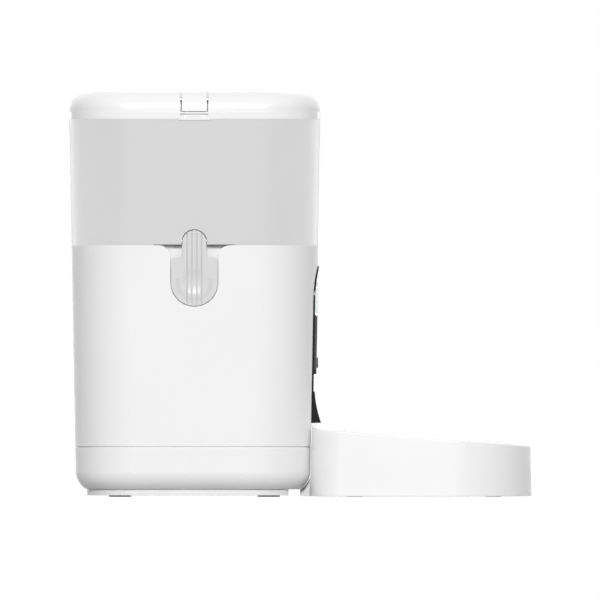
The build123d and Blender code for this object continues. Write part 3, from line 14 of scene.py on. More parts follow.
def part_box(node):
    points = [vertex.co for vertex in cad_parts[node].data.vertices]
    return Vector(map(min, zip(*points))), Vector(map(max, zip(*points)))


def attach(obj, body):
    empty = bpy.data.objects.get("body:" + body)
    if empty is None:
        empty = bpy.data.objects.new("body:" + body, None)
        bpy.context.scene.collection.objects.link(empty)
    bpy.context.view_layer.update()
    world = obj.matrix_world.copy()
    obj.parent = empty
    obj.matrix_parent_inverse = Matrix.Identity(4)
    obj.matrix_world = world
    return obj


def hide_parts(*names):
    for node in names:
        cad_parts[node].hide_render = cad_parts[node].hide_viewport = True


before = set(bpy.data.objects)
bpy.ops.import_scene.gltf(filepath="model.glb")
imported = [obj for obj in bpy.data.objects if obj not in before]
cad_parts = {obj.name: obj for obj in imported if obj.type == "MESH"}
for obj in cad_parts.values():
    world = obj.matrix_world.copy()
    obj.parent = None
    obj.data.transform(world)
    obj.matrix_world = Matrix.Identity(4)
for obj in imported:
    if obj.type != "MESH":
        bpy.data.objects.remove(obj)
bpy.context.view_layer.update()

LOG = logging.getLogger("pet_feeder")
MM = 0.001
SAME_PLACE = 0.002 * MM
WHITE_LIGHT = (1.0, 1.0, 1.0, 1.0)

# Nearly all values of a noise lie between these two.
NOISE_LOW, NOISE_HIGH = 0.3, 0.7

Rgb = tuple[float, float, float]
Socket = bpy.types.NodeSocket


class Side(Enum):
    """Left is -X and right is +X."""

    LEFT = -1
    RIGHT = 1


def node_box(name: str) -> tuple[Vector, Vector]:
    """Lowest and highest corner of a CAD node, in metres."""
    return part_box(name)


def feed(tree: bpy.types.NodeTree, value: object, socket: Socket) -> None:
    """Link an output to a socket, or set the socket to a constant.

    Args:
        tree: the tree that holds the socket.
        value: an output or a constant.
        socket: the input that gets it.
    """
    if isinstance(value, Socket):
        tree.links.new(value, socket)
    else:
        socket.default_value = value


def calculate(tree: bpy.types.NodeTree, operation: str, first: object, second: object) -> Socket:
    """Result of a sum on two values.

    Args:
        tree: the tree that the sum goes into.
        operation: the math node's operation.
        first: a number or an output.
        second: a number or an output.

    Returns:
        The result.
    """
    node = tree.nodes.new("ShaderNodeMath")
    node.operation = operation
    for socket, value in zip(node.inputs, (first, second)):
        feed(tree, value, socket)
    return node.outputs[0]


# Materials


@dataclass(frozen=True)
class Graph:
    """Node tree of one material, with short ways to add and join nodes."""

    material: bpy.types.Material

    @staticmethod
    def new(name: str) -> "Graph":
        """Start an empty material.

        Args:
            name: the material's name.

        Returns:
            The graph, which holds no node yet.
        """
        material = bpy.data.materials.new(name)
        material.use_nodes = True
        material.node_tree.nodes.clear()
        return Graph(material)

    def add(self, kind: str, **values: object) -> bpy.types.Node:
        """Add a node and set its properties or its sockets by name.

        Args:
            kind: the node's type name, without its "ShaderNode" start.
            values: properties, or socket names with spaces as underscores.

        Returns:
            The new node.
        """
        node = self.material.node_tree.nodes.new("ShaderNode" + kind)
        for key, value in values.items():
            if hasattr(node, key):
                setattr(node, key, value)
            else:
                node.inputs[key.replace("_", " ")].default_value = value
        return node

    def join(self, start: Socket, end: Socket) -> None:
        """Link an output to an input."""
        self.material.node_tree.links.new(start, end)

    def place(self, scale: tuple[float, float, float] = (1.0, 1.0, 1.0)) -> Socket:
        """Object coordinates times a scale.

        Args:
            scale: factor along each axis.

        Returns:
            The scaled coordinates.
        """
        coordinates = self.add("TexCoord")
        mapping = self.add("Mapping")
        mapping.inputs["Scale"].default_value = scale
        self.join(coordinates.outputs["Object"], mapping.inputs["Vector"])
        return mapping.outputs["Vector"]

    def noise(self, place: Socket, size: float, detail: float) -> Socket:
        """Noise of a grain size.

        Args:
            place: coordinates that it reads.
            size: width of a grain in metres.
            detail: number of finer layers.

        Returns:
            The noise value, from 0 to 1.
        """
        noise = self.add("TexNoise", Scale=1.0 / size, Detail=detail)
        self.join(place, noise.inputs["Vector"])
        return noise.outputs["Fac"]

    def remap(self, value: Socket, low: float, high: float) -> Socket:
        """Noise stretched to a new range.

        Args:
            value: the noise.
            low: result where the noise is low.
            high: result where the noise is high.

        Returns:
            The stretched value.
        """
        remap = self.add("MapRange")
        ends = {"From Min": NOISE_LOW, "From Max": NOISE_HIGH, "To Min": low, "To Max": high}
        for name, number in ends.items():
            remap.inputs[name].default_value = number
        self.join(value, remap.inputs["Value"])
        return remap.outputs["Result"]

    def drift(self, value: Socket, middle: float, share: float) -> Socket:
        """A value that drifts with a noise by a share to both sides of its middle."""
        return self.remap(value, middle * (1 - share), middle * (1 + share))

    def tint(self, value: Socket, dark: Rgb, light: Rgb) -> Socket:
        """Colour between two, by a noise.

        Args:
            value: the noise.
            dark: linear colour where the noise is low.
            light: linear colour where the noise is high.

        Returns:
            The mixed colour.
        """
        ramp = self.add("ValToRGB")
        low, high = ramp.color_ramp.elements
        low.position, low.color = NOISE_LOW, (*dark, 1.0)
        high.position, high.color = NOISE_HIGH, (*light, 1.0)
        self.join(value, ramp.inputs["Fac"])
        return ramp.outputs["Color"]

    def bump(self, value: Socket, height: float, strength: float = 1.0, edge: float = 0.0) -> Socket:
        """Bumped normal, rounded over sharp edges where an edge radius is given.

        Args:
            value: height pattern from 0 to 1.
            height: size of the step in metres.
            strength: share of the effect.
            edge: radius over which an edge looks rounded, in metres.

        Returns:
            The normal.
        """
        bump = self.add("Bump", Strength=strength, Distance=height)
        self.join(value, bump.inputs["Height"])
        if edge > 0.0:
            rounding = self.add("Bevel", samples=4, Radius=edge)
            self.join(rounding.outputs["Normal"], bump.inputs["Normal"])
        return bump.outputs["Normal"]

    def sum(self, operation: str, first: object, second: object = 0.0) -> Socket:
        """Result of a sum on two values, each a number or an output."""
        return calculate(self.material.node_tree, operation, first, second)

    def shader(self, **values: object) -> bpy.types.Node:
        """Principled shader joined to the output.

        Args:
            values: socket names, with underscores for spaces, and their constants.

        Returns:
            The shader node.
        """
        shader = self.add("BsdfPrincipled", **values)
        output = self.add("OutputMaterial")
        self.join(shader.outputs["BSDF"], output.inputs["Surface"])
        return shader

    def coat(self, shader: bpy.types.Node, **outputs: Socket) -> bpy.types.Material:
        """Join outputs to a shader's sockets by name and hand over the material.

        Args:
            shader: the shader node.
            outputs: socket names, with underscores for spaces, and what feeds them.

        Returns:
            The finished material.
        """
        for key, output in outputs.items():
            self.join(output, shader.inputs[key.replace("_", " ")])
        return self.material


def grey(level: float) -> Rgb:
    """A neutral colour."""
    return (level, level, level)


def shade(rgb: Rgb, factor: float) -> Rgb:
    """A colour made darker or lighter by a factor."""
    return tuple(min(1.0, channel * factor) for channel in rgb)


@dataclass(frozen=True)
class Plastic:
    """Moulded plastic: faint unevenness of colour, a fine spark-eroded grain and soft gloss."""

    name: str
    rgb: Rgb
    roughness: float
    through: float = 0.0
    grain_height: float = 0.010 * MM
    haze: float = 0.0
    grain: float = 0.35 * MM
    uneven: float = 0.015
    specular: float = 0.5
    edge: float = 0.35 * MM
    cloud_size: float = 60 * MM
    flow_size: float = 9 * MM
    flow_detail: float = 4.0
    gloss_drift: float = 0.1
    ior: float = 1.49

    def colour(self, graph: Graph, place: Socket) -> Socket:
        """Faintly uneven colour over the piece."""
        cloud = graph.noise(place, self.cloud_size, 2.0)
        return graph.tint(cloud, shade(self.rgb, 1 - self.uneven), self.rgb)

    def material(self) -> bpy.types.Material:
        """Build the material."""
        graph = Graph.new(self.name)
        shader = graph.shader(IOR=self.ior, Specular_IOR_Level=self.specular,
                              Transmission_Weight=self.through, Sheen_Weight=self.haze,
                              Diffuse_Roughness=self.haze)
        place = graph.place()
        fine = graph.noise(place, self.grain, 2.0)
        flow = graph.noise(place, self.flow_size, self.flow_detail)
        return graph.coat(shader, Base_Color=self.colour(graph, place),
                          Roughness=graph.drift(flow, self.roughness, self.gloss_drift),
                          Normal=graph.bump(fine, self.grain_height, edge=self.edge))


@dataclass(frozen=True)
class Hazy(Plastic):
    """See-through plastic with a frosted body: part of the light goes through, the rest scatters."""

    grain_height: float = 0.006 * MM
    grain: float = 0.5 * MM
    edge: float = 0.0
    cloud_size: float = 80 * MM
    flow_size: float = 12 * MM
    flow_detail: float = 3.0
    gloss_drift: float = 0.08
    ior: float = 1.46


@dataclass(frozen=True)
class RibbedLever(Hazy):
    """Milky lever with painted shade: darker lines where its grooves are and a darker band round the lower
    rim of its finger dish.
    """

    middle: tuple[float, float] = (0.0, 0.0)
    pitch: float = 3.76 * MM
    groove_count: int = 4
    dish: float = 12.9 * MM
    # The rim and darkest values size the painted shade of the dish's rim and of the grooves.
    rim_width: float = 2.2 * MM
    rim_top: float = 3.0 * MM
    rim_share: float = 0.55
    darkest: float = 0.84
    edge: float = 0.3 * MM

    def groove_shade(self, graph: Graph, across: Socket) -> Socket:
        """Painted shade along the lever's grooves.

        Args:
            graph: the material's graph.
            across: distance from the lever's middle line.

        Returns:
            1 along the middle of each groove's painted shade and 0 between the grooves and beside them.
        """
        half = self.pitch * self.groove_count / 2
        start = graph.sum("SUBTRACT", graph.sum("ADD", across, half), self.pitch / 2)
        wave = graph.sum("COSINE", graph.sum("MULTIPLY", start, 2 * math.pi / self.pitch))
        lines = graph.sum("POWER", graph.sum("MAXIMUM", wave, 0.0), 2.0)
        inside = graph.sum("LESS_THAN", graph.sum("ABSOLUTE", across), half)
        return graph.sum("MULTIPLY", lines, inside)

    def rim(self, graph: Graph, across: Socket, up: Socket) -> Socket:
        """Painted shade of the finger dish's sloping rim, round its lower part.

        Args:
            graph: the material's graph.
            across: distance from the lever's middle line.
            up: height above the dish's middle.

        Returns:
            The painted shade's share, highest at the dish's radius.
        """
        squares = [graph.sum("MULTIPLY", value, value) for value in (across, up)]
        reach = graph.sum("SQRT", graph.sum("ADD", *squares))
        away = graph.sum("DIVIDE", graph.sum("SUBTRACT", reach, self.dish), self.rim_width)
        band = graph.sum("MAXIMUM", graph.sum("SUBTRACT", 1.0, graph.sum("MULTIPLY", away, away)), 0.0)
        below = graph.sum("LESS_THAN", up, self.rim_top)
        return graph.sum("MULTIPLY", graph.sum("MULTIPLY", band, below), self.rim_share)

    def colour(self, graph: Graph, place: Socket) -> Socket:
        """Colour over the lever, with painted shade along the grooves and round the dish's rim.

        Args:
            graph: the material's graph.
            place: object coordinates.

        Returns:
            The colour.
        """
        split = graph.add("SeparateXYZ")
        graph.join(place, split.inputs["Vector"])
        across, up = (graph.sum("SUBTRACT", split.outputs[axis], middle)
                      for axis, middle in zip("YZ", self.middle))
        # Painted shade: the grooves and the dish's rim are darkened in the colour, not by the lamps.
        dark = graph.sum("MAXIMUM", self.groove_shade(graph, across), self.rim(graph, across, up))
        light = graph.sum("MULTIPLY", graph.sum("SUBTRACT", 1.0, dark), NOISE_HIGH - NOISE_LOW)
        return graph.tint(graph.sum("ADD", NOISE_LOW, light), shade(self.rgb, self.darkest), self.rgb)


@dataclass(frozen=True)
class Metal:
    """Bare metal with fine drawn lines along one axis."""

    name: str
    rgb: Rgb
    roughness: float
    stretch: tuple[float, float, float] = (1.0, 1.0, 0.05)
    line: float = 0.4 * MM
    line_height: float = 0.006 * MM
    uneven: float = 0.07
    cloud_size: float = 14 * MM
    gloss_drift: float = 0.2

    def material(self) -> bpy.types.Material:
        """Build the material."""
        graph = Graph.new(self.name)
        shader = graph.shader(Metallic=1.0)
        lines = graph.noise(graph.place(self.stretch), self.line, 4.0)
        cloud = graph.noise(graph.place(), self.cloud_size, 3.0)
        return graph.coat(shader,
                          Base_Color=graph.tint(cloud, shade(self.rgb, 1 - self.uneven), self.rgb),
                          Roughness=graph.drift(lines, self.roughness, self.gloss_drift),
                          Normal=graph.bump(lines, self.line_height))


@dataclass(frozen=True)
class SpunSteel:
    """Stainless steel with fine rings round a leaning axis, as a spun and polished bowl has."""

    name: str
    rgb: Rgb
    roughness: float
    centre: Vector
    lean: float
    line: float = 0.35 * MM
    line_height: float = 0.008 * MM
    uneven: float = 0.06
    smear_size: float = 25 * MM
    polished: float = 0.75
    dulled: float = 1.3

    def rings(self, graph: Graph, place: Socket) -> Socket:
        """Coordinates that stay the same all round the bowl's axis.

        Args:
            graph: the material's graph.
            place: object coordinates.

        Returns:
            The distance from the axis plus the height along it, as a vector's first value.
        """
        shift = graph.add("VectorMath", operation="SUBTRACT")
        shift.inputs[1].default_value = self.centre
        turn = graph.add("VectorRotate", rotation_type="X_AXIS")
        turn.inputs["Angle"].default_value = -self.lean
        flat = graph.add("VectorMath", operation="MULTIPLY")
        flat.inputs[1].default_value = (1.0, 1.0, 0.0)
        reach = graph.add("VectorMath", operation="LENGTH")
        split = graph.add("SeparateXYZ")
        rings = graph.add("CombineXYZ")
        graph.join(place, shift.inputs[0])
        graph.join(shift.outputs["Vector"], turn.inputs["Vector"])
        for end in (flat.inputs[0], split.inputs["Vector"]):
            graph.join(turn.outputs["Vector"], end)
        graph.join(flat.outputs["Vector"], reach.inputs[0])
        graph.join(graph.sum("ADD", reach.outputs["Value"], split.outputs["Z"]), rings.inputs["X"])
        return rings.outputs["Vector"]

    def material(self) -> bpy.types.Material:
        """Build the material."""
        graph = Graph.new(self.name)
        shader = graph.shader(Metallic=1.0)
        place = graph.add("TexCoord").outputs["Object"]
        lines = graph.noise(self.rings(graph, place), self.line, 5.0)
        smear = graph.noise(place, self.smear_size, 3.0)
        rough = graph.remap(lines, self.roughness * self.polished, self.roughness * self.dulled)
        return graph.coat(shader,
                          Base_Color=graph.tint(smear, shade(self.rgb, 1 - self.uneven), self.rgb),
                          Roughness=rough, Normal=graph.bump(lines, self.line_height))


@dataclass(frozen=True)
class Rubber:
    """Dull rubber with a pebbled surface."""

    name: str
    rgb: Rgb
    pebble: float = 0.7 * MM
    pebble_height: float = 0.05 * MM
    pebble_share: float = 0.6
    uneven: float = 0.12
    cloud_size: float = 10 * MM
    roughness: float = 0.82
    ior: float = 1.5

    def material(self) -> bpy.types.Material:
        """Build the material."""
        graph = Graph.new(self.name)
        shader = graph.shader(Roughness=self.roughness, IOR=self.ior)
        place = graph.place()
        pebbles = graph.add("TexVoronoi", Scale=1.0 / self.pebble)
        graph.join(place, pebbles.inputs["Vector"])
        cloud = graph.noise(place, self.cloud_size, 3.0)
        bumps = graph.bump(pebbles.outputs["Distance"], self.pebble_height, self.pebble_share)
        return graph.coat(shader,
                          Base_Color=graph.tint(cloud, shade(self.rgb, 1 - self.uneven), self.rgb),
                          Normal=bumps)


@dataclass(frozen=True)
class CircuitBoard:
    """Green lacquered board with copper tracks that show through the lacquer."""

    name: str
    rgb: Rgb = (0.010, 0.115, 0.050)
    track: float = 2.2 * MM
    tracks_a_field: int = 6
    track_share: float = 0.012
    track_height: float = 0.03 * MM
    second_shade: float = 1.25
    track_shade: float = 2.1
    roughness: float = 0.32
    ior: float = 1.5

    def material(self) -> bpy.types.Material:
        """Build the material."""
        graph = Graph.new(self.name)
        shader = graph.shader(Roughness=self.roughness, IOR=self.ior)
        tracks = graph.add("TexBrick", Scale=1.0 / (self.tracks_a_field * self.track),
                           Mortar_Size=self.track_share)
        graph.join(graph.place(), tracks.inputs["Vector"])
        shades = {"Color1": 1.0, "Color2": self.second_shade, "Mortar": self.track_shade}
        for name, factor in shades.items():
            tracks.inputs[name].default_value = (*shade(self.rgb, factor), 1.0)
        return graph.coat(shader, Base_Color=tracks.outputs["Color"],
                          Normal=graph.bump(tracks.outputs["Fac"], self.track_height))


class Slot(Enum):
    """The record's material slots that pieces here take their finish from."""

    WHITE = "white_plastic"
    COLLAR = "collar_white"
    HOPPER = "hazy_clear"
    LEVER = "lever_grey"
    BLACK = "black_gloss"
    SMOKED = "smoked_plate"
    WINDOW = "clear_window"
    BUTTON = "button_white"
    PALE = "pale_grey_plastic"
    INNER = "inner_plastic"
    WHEEL = "wheel_plastic"
    GEAR = "gear_plastic"
    RUBBER = "rubber_grey"
    SEAL = "seal_silicone"
    BOWL = "bowl_steel"
    PIN = "pin_steel"
    MOTOR = "motor_metal"
    CELL = "cell_jacket"
    BRASS = "bushing_brass"
    BOARD = "board_green"


class Paints:
    """One material for each slot, built once."""

    level_bowl_height = 37 * MM
    added_bowl_rise = 11.5 * MM

    def lever(self) -> RibbedLever:
        """Finish of the levers, whose painted groove and dish shade lies round the middle of their paddles.
        """
        low, high = node_box("release_lever_left")
        middle = ((low.y + high.y) / 2, low.z + (high.y - low.y) / 2)
        return RibbedLever("lever_milky", (0.78, 0.78, 0.785), 0.30, 0.12, middle=middle)

    def bowl(self) -> SpunSteel:
        """Finish of the bowl, with its rings' lean estimated from the bowl's box."""
        low, high = node_box("steel_bowl")
        rise = max((high.z - low.z) - self.level_bowl_height, 0.0) + self.added_bowl_rise
        lean = math.atan2(rise, high.y - low.y)
        return SpunSteel("bowl_spun_steel", (0.70, 0.70, 0.71), 0.22, (low + high) / 2, lean)

    def __init__(self) -> None:
        """Build every finish."""
        finishes = {
            Slot.WHITE: Plastic("white_satin", grey(0.90), 0.36, specular=0.35),
            Slot.COLLAR: Plastic("collar_gloss", grey(0.93), 0.16, grain_height=0.003 * MM),
            Slot.HOPPER: Hazy("hopper_frosted", grey(0.83), 0.42, 0.18, haze=1.0),
            Slot.LEVER: self.lever(),
            Slot.BLACK: Plastic("panel_black", (0.008, 0.008, 0.009), 0.16, grain_height=0.002 * MM,
                                specular=0.2),
            Slot.SMOKED: Hazy("plate_smoked", (0.10, 0.10, 0.105), 0.14, 0.25, 0.002 * MM),
            Slot.WINDOW: Hazy("window_clear", (0.90, 0.92, 0.93), 0.08, 0.9, 0.002 * MM),
            Slot.BUTTON: Plastic("button_cap", grey(0.82), 0.28),
            Slot.PALE: Plastic("pale_grey", (0.82, 0.82, 0.825), 0.42),
            Slot.INNER: Plastic("inner_natural", (0.80, 0.80, 0.785), 0.45),
            Slot.WHEEL: Plastic("wheel_grey", (0.56, 0.60, 0.64), 0.48),
            Slot.GEAR: Plastic("gear_cream", (0.82, 0.79, 0.70), 0.40),
            Slot.RUBBER: Rubber("foot_rubber", grey(0.20)),
            Slot.SEAL: Rubber("seal_silicone", (0.74, 0.74, 0.73), 0.4 * MM),
            Slot.BOWL: self.bowl(),
            Slot.PIN: Metal("pin_steel", (0.62, 0.62, 0.63), 0.28),
            Slot.MOTOR: Metal("motor_can", (0.55, 0.56, 0.58), 0.38),
            Slot.CELL: Metal("cell_jacket", (0.10, 0.11, 0.13), 0.30, (0.05, 1.0, 0.05), 1.0 * MM),
            Slot.BRASS: Metal("bushing_brass", (0.62, 0.45, 0.16), 0.30),
            Slot.BOARD: CircuitBoard("circuit_board"),
        }
        self.by_slot = {slot: finish.material() for slot, finish in finishes.items()}

    def of(self, slot: Slot) -> bpy.types.Material:
        """The material of a slot."""
        return self.by_slot[slot]


# Meshes and pieces


def dress_node(name: str, material: bpy.types.Material, crease: float = 32.0, flatness: int = 90) -> None:
    """Give a CAD node its material and smooth shading with sharp creases.

    Args:
        name: the node.
        material: its finish.
        crease: angle in degrees past which an edge stays sharp.
        flatness: how far large faces outweigh small ones in the shading, up to 100.
    """
    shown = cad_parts[name]
    shown.data.materials.clear()
    shown.data.materials.append(material)
    for polygon in shown.data.polygons:
        polygon.use_smooth = True
        polygon.material_index = 0
    weld = shown.modifiers.new("weld", "WELD")
    weld.merge_threshold = SAME_PLACE
    split = shown.modifiers.new("crease", "EDGE_SPLIT")
    split.split_angle = math.radians(crease)
    weighted = shown.modifiers.new("flats", "WEIGHTED_NORMAL")
    weighted.mode = "FACE_AREA"
    weighted.weight = flatness


def show(name: str, data: bpy.types.Mesh) -> bpy.types.Object:
    """Put a mesh into the scene as an object at the origin.

    Args:
        name: the object's name.
        data: its mesh.

    Returns:
        The object.
    """
    shown = bpy.data.objects.new(name, data)
    bpy.context.scene.collection.objects.link(shown)
    return shown


def piece_from(mesh: bmesh.types.BMesh, name: str, material: bpy.types.Material) -> bpy.types.Object:
    """Turn a bmesh into a smoothly shaded piece in the scene.

    Args:
        mesh: what it is made of, freed afterwards.
        name: the piece's name.
        material: its finish.

    Returns:
        The object, at the origin.
    """
    data = bpy.data.meshes.new(name)
    mesh.to_mesh(data)
    mesh.free()
    data.materials.append(material)
    for polygon in data.polygons:
        polygon.use_smooth = True
    return show(name, data)


def mount(piece: bpy.types.Object, body: str) -> None:
    """Let a piece ride on a body, and report it.

    Args:
        piece: what rides.
        body: the CAD body.
    """
    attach(piece, body)
    LOG.info("%s rides on %s with %d faces", piece.name, body, len(piece.data.polygons))


def close_strip(mesh: bmesh.types.BMesh, here: list, there: list) -> None:
    """Join two closed loops of equally many vertices by a band of faces.

    Args:
        mesh: what the faces go into.
        here: vertices of one loop.
        there: vertices of the other.
    """
    for step in range(len(here)):
        after = (step + 1) % len(here)
        mesh.faces.new((here[step], there[step], there[after], here[after]))


# Geometry node trees


class Tree:
    """A geometry node tree that starts from a mesh, with named inputs, and ends in one material."""

    def __init__(self, name: str, sizes: dict[str, float]) -> None:
        """Start the tree.

        Args:
            name: its name.
            sizes: each named input and its value in metres.
        """
        self.group = bpy.data.node_groups.new(name, "GeometryNodeTree")
        self.sizes = sizes
        face = self.group.interface
        face.new_socket("Geometry", in_out="INPUT", socket_type="NodeSocketGeometry")
        for key in sizes:
            face.new_socket(key, in_out="INPUT", socket_type="NodeSocketFloat")
        face.new_socket("Material", in_out="INPUT", socket_type="NodeSocketMaterial")
        face.new_socket("Geometry", in_out="OUTPUT", socket_type="NodeSocketGeometry")
        self.start = self.group.nodes.new("NodeGroupInput")
        self.end = self.group.nodes.new("NodeGroupOutput")

    def add(self, kind: str, **values: object) -> bpy.types.Node:
        """Add a node, set its properties, and set or link its inputs by name.

        Args:
            kind: the node's type name.
            values: a property, or an input's name with a constant or an output to link.

        Returns:
            The new node.
        """
        node = self.group.nodes.new(kind)
        for key, value in values.items():
            if key not in [socket.name.replace(" ", "_") for socket in node.inputs]:
                setattr(node, key, value)
        for key, value in values.items():
            found = [s for s in node.inputs if s.name.replace(" ", "_") == key and s.enabled]
            if found:
                feed(self.group, value, found[0])
        return node

    def link(self, start: Socket, end: Socket) -> None:
        """Link an output to an input."""
        self.group.links.new(start, end)

    def math(self, operation: str, first: object, second: object) -> Socket:
        """Result of a sum on two values, each a number or an output."""
        return calculate(self.group, operation, first, second)

    def size(self, name: str, factor: float = 1.0) -> Socket:
        """The output that carries a named size, or a factor times that size."""
        size = self.start.outputs[name]
        return size if factor == 1.0 else self.math("MULTIPLY", size, factor)

    def lift(self, shape: Socket, height: Socket, turn: float = 0.0) -> Socket:
        """Shape moved up by a height.

        Args:
            shape: what is moved.
            height: the distance.
            turn: angle in radians by which it is turned round the upright axis.

        Returns:
            The moved shape.
        """
        up = self.add("ShaderNodeCombineXYZ", Z=height)
        moved = self.add("GeometryNodeTransform", Geometry=shape, Translation=up.outputs[0])
        moved.inputs["Rotation"].default_value = (0.0, 0.0, turn)
        return moved.outputs[0]

    def close(self, shape: Socket) -> None:
        """Realize what was instanced, set the material and end the tree.

        Args:
            shape: the finished geometry.
        """
        real = self.add("GeometryNodeRealizeInstances", Geometry=shape)
        painted = self.add("GeometryNodeSetMaterial", Geometry=real.outputs[0],
                           Material=self.start.outputs["Material"])
        self.link(painted.outputs[0], self.end.inputs["Geometry"])

    def run(self, base: bpy.types.Object, name: str, material: bpy.types.Material) -> bpy.types.Object:
        """Apply the tree to a base object and replace that by the plain result.

        Args:
            base: the object that the tree starts from, deleted afterwards.
            name: the result's name.
            material: the finish that it sets.

        Returns:
            The piece, with no modifier.
        """
        modifier = base.modifiers.new(self.group.name, "NODES")
        modifier.node_group = self.group
        values = {**self.sizes, "Material": material}
        for item in self.group.interface.items_tree:
            if item.in_out == "INPUT" and item.name in values:
                modifier[item.identifier] = values[item.name]
        bpy.context.view_layer.update()
        graph = bpy.context.evaluated_depsgraph_get()
        data = bpy.data.meshes.new_from_object(base.evaluated_get(graph), depsgraph=graph)
        data.name = name
        bpy.data.objects.remove(base)
        return show(name, data)


def point_base(points: list[Vector], name: str) -> bpy.types.Object:
    """Object whose mesh is loose points, for a tree to put instances on.

    Args:
        points: the places in metres.
        name: the object's name.

    Returns:
        The object.
    """
    data = bpy.data.meshes.new(name)
    data.from_pydata([tuple(point) for point in points], [], [])
    return show(name, data)


def islands(name: str) -> list[tuple[Vector, Vector]]:
    """Boxes of the separate solids in a CAD node, in the order of their first vertices.

    Args:
        name: the node.

    Returns:
        Lowest and highest corner of each solid.
    """
    mesh = bmesh.new()
    mesh.from_mesh(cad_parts[name].data)
    bmesh.ops.remove_doubles(mesh, verts=mesh.verts, dist=SAME_PLACE)
    mesh.verts.ensure_lookup_table()
    seen: set[int] = set()
    boxes = []
    for start in mesh.verts:
        if start.index in seen:
            continue
        queue, members = [start], []
        seen.add(start.index)
        while queue:
            vertex = queue.pop()
            members.append(vertex.co.copy())
            for edge in vertex.link_edges:
                other = edge.other_vert(vertex)
                if other.index not in seen:
                    seen.add(other.index)
                    queue.append(other)
        low, high = (Vector(end(p[axis] for p in members) for axis in range(3)) for end in (min, max))
        boxes.append((low, high))
    mesh.free()
    return boxes


# Camera, lamps and floor


@dataclass
class Studio:
    """White surroundings, a key lamp and a long-lens camera on the feeder's left, and soft fill lamps."""

    picture_width: float = 468 * MM
    aim: Vector = field(default_factory=lambda: Vector((0.0, 0.288, 152.96)) * MM)
    lens: float = 1500.0
    sensor: float = 36.0
    clip: tuple[float, float] = (0.5, 100.0)
    key_from: tuple[float, float, float] = (-1.0, 0.0, 0.34)
    key_strength: float = 2.1
    key_spread: float = 12.0
    fill_from: tuple[float, float, float] = (1.0, 0.35, 0.5)
    front_from: tuple[float, float, float] = (0.9, -0.5, 0.4)
    fill_strength: float = 0.6
    fill_spread: float = 60.0
    sky_strength: float = 0.46
    floor_reach: float = 40.0
    floor_grey: float = 0.26
    floor_white: float = 1.05
    floor_share: float = 0.94
    seen_rays: tuple[str, ...] = ("Is Camera Ray", "Is Glossy Ray", "Is Transmission Ray")

    def camera(self) -> None:
        """Camera at the photograph's side view, with a nearly parallel view."""
        data = bpy.data.cameras.new("side_view")
        data.lens = self.lens
        data.sensor_width = self.sensor
        distance = self.picture_width * self.lens / self.sensor
        data.clip_start, data.clip_end = self.clip
        camera = bpy.data.objects.new("side_view", data)
        camera.location = self.aim - Vector((distance, 0.0, 0.0))
        camera.rotation_euler = (math.radians(90), 0.0, math.radians(-90))
        bpy.context.scene.collection.objects.link(camera)
        bpy.context.scene.camera = camera

    def lamp(self, name: str, towards: tuple[float, float, float], strength: float, spread: float) -> None:
        """Distant lamp.

        Args:
            name: its name.
            towards: direction from the feeder to the lamp.
            strength: its strength.
            spread: its apparent width in degrees.
        """
        data = bpy.data.lights.new(name, "SUN")
        data.energy = strength
        data.angle = math.radians(spread)
        lamp = bpy.data.objects.new(name, data)
        lamp.rotation_mode = "QUATERNION"
        lamp.rotation_quaternion = Vector(towards).to_track_quat("Z", "Y")
        bpy.context.scene.collection.objects.link(lamp)

    def seen(self, tree: bpy.types.NodeTree) -> Socket:
        """1 for rays by which something is seen or mirrored, and 0 for all others.

        Args:
            tree: where the nodes go.

        Returns:
            The factor.
        """
        path = tree.nodes.new("ShaderNodeLightPath")
        total = path.outputs[self.seen_rays[0]]
        for name in self.seen_rays[1:]:
            total = calculate(tree, "MAXIMUM", total, path.outputs[name])
        return total

    def sky(self) -> None:
        """World that is white where it is seen or mirrored, and dimmer as a light."""
        world = bpy.data.worlds.new("surroundings")
        bpy.context.scene.world = world
        world.use_nodes = True
        tree = world.node_tree
        tree.nodes.clear()
        bright = tree.nodes.new("ShaderNodeBackground")
        dim = tree.nodes.new("ShaderNodeBackground")
        mix = tree.nodes.new("ShaderNodeMixShader")
        for node in (bright, dim):
            node.inputs["Color"].default_value = WHITE_LIGHT
        dim.inputs["Strength"].default_value = self.sky_strength
        output = tree.nodes.new("ShaderNodeOutputWorld")
        tree.links.new(self.seen(tree), mix.inputs["Fac"])
        tree.links.new(dim.outputs[0], mix.inputs[1])
        tree.links.new(bright.outputs[0], mix.inputs[2])
        tree.links.new(mix.outputs[0], output.inputs["Surface"])

    def floor(self) -> None:
        """Wide pale floor that keeps the feeder's shadow."""
        mesh = bmesh.new()
        bmesh.ops.create_grid(mesh, x_segments=2, y_segments=2, size=self.floor_reach)
        graph = Graph.new("floor_white")
        diffuse, bright, mix = (graph.add(kind) for kind in ("BsdfDiffuse", "Emission", "MixShader"))
        diffuse.inputs["Color"].default_value = (*grey(self.floor_grey), 1.0)
        bright.inputs["Strength"].default_value = self.floor_white
        rays = self.seen(graph.material.node_tree)
        output = graph.add("OutputMaterial")
        graph.join(graph.sum("MULTIPLY", rays, self.floor_share), mix.inputs["Fac"])
        graph.join(diffuse.outputs[0], mix.inputs[1])
        graph.join(bright.outputs[0], mix.inputs[2])
        graph.join(mix.outputs[0], output.inputs["Surface"])
        floor = piece_from(mesh, "floor", graph.material)

    def build(self) -> None:
        """Set up everything round the feeder."""
        bpy.context.scene.view_settings.view_transform = "Standard"
        self.camera()
        self.lamp("key", self.key_from, self.key_strength, self.key_spread)
        self.lamp("fill", self.fill_from, self.fill_strength, self.fill_spread)
        self.lamp("front", self.front_from, self.fill_strength, self.fill_spread)
        self.sky()
        self.floor()


# The feeder's sub-assemblies


@dataclass
class SubAssembly:
    """Common ground of the sub-assemblies: the paints, and the slots of nodes that keep their CAD shape."""

    slots: ClassVar[dict[str, Slot]] = {}
    paints: Paints

    def build(self) -> None:
        """Dress the nodes that keep their shape with the finishes of their slots."""
        for name, slot in self.slots.items():
            dress_node(name, self.paints.of(slot))
            LOG.info("%s keeps its shape with %s", name, slot.value)


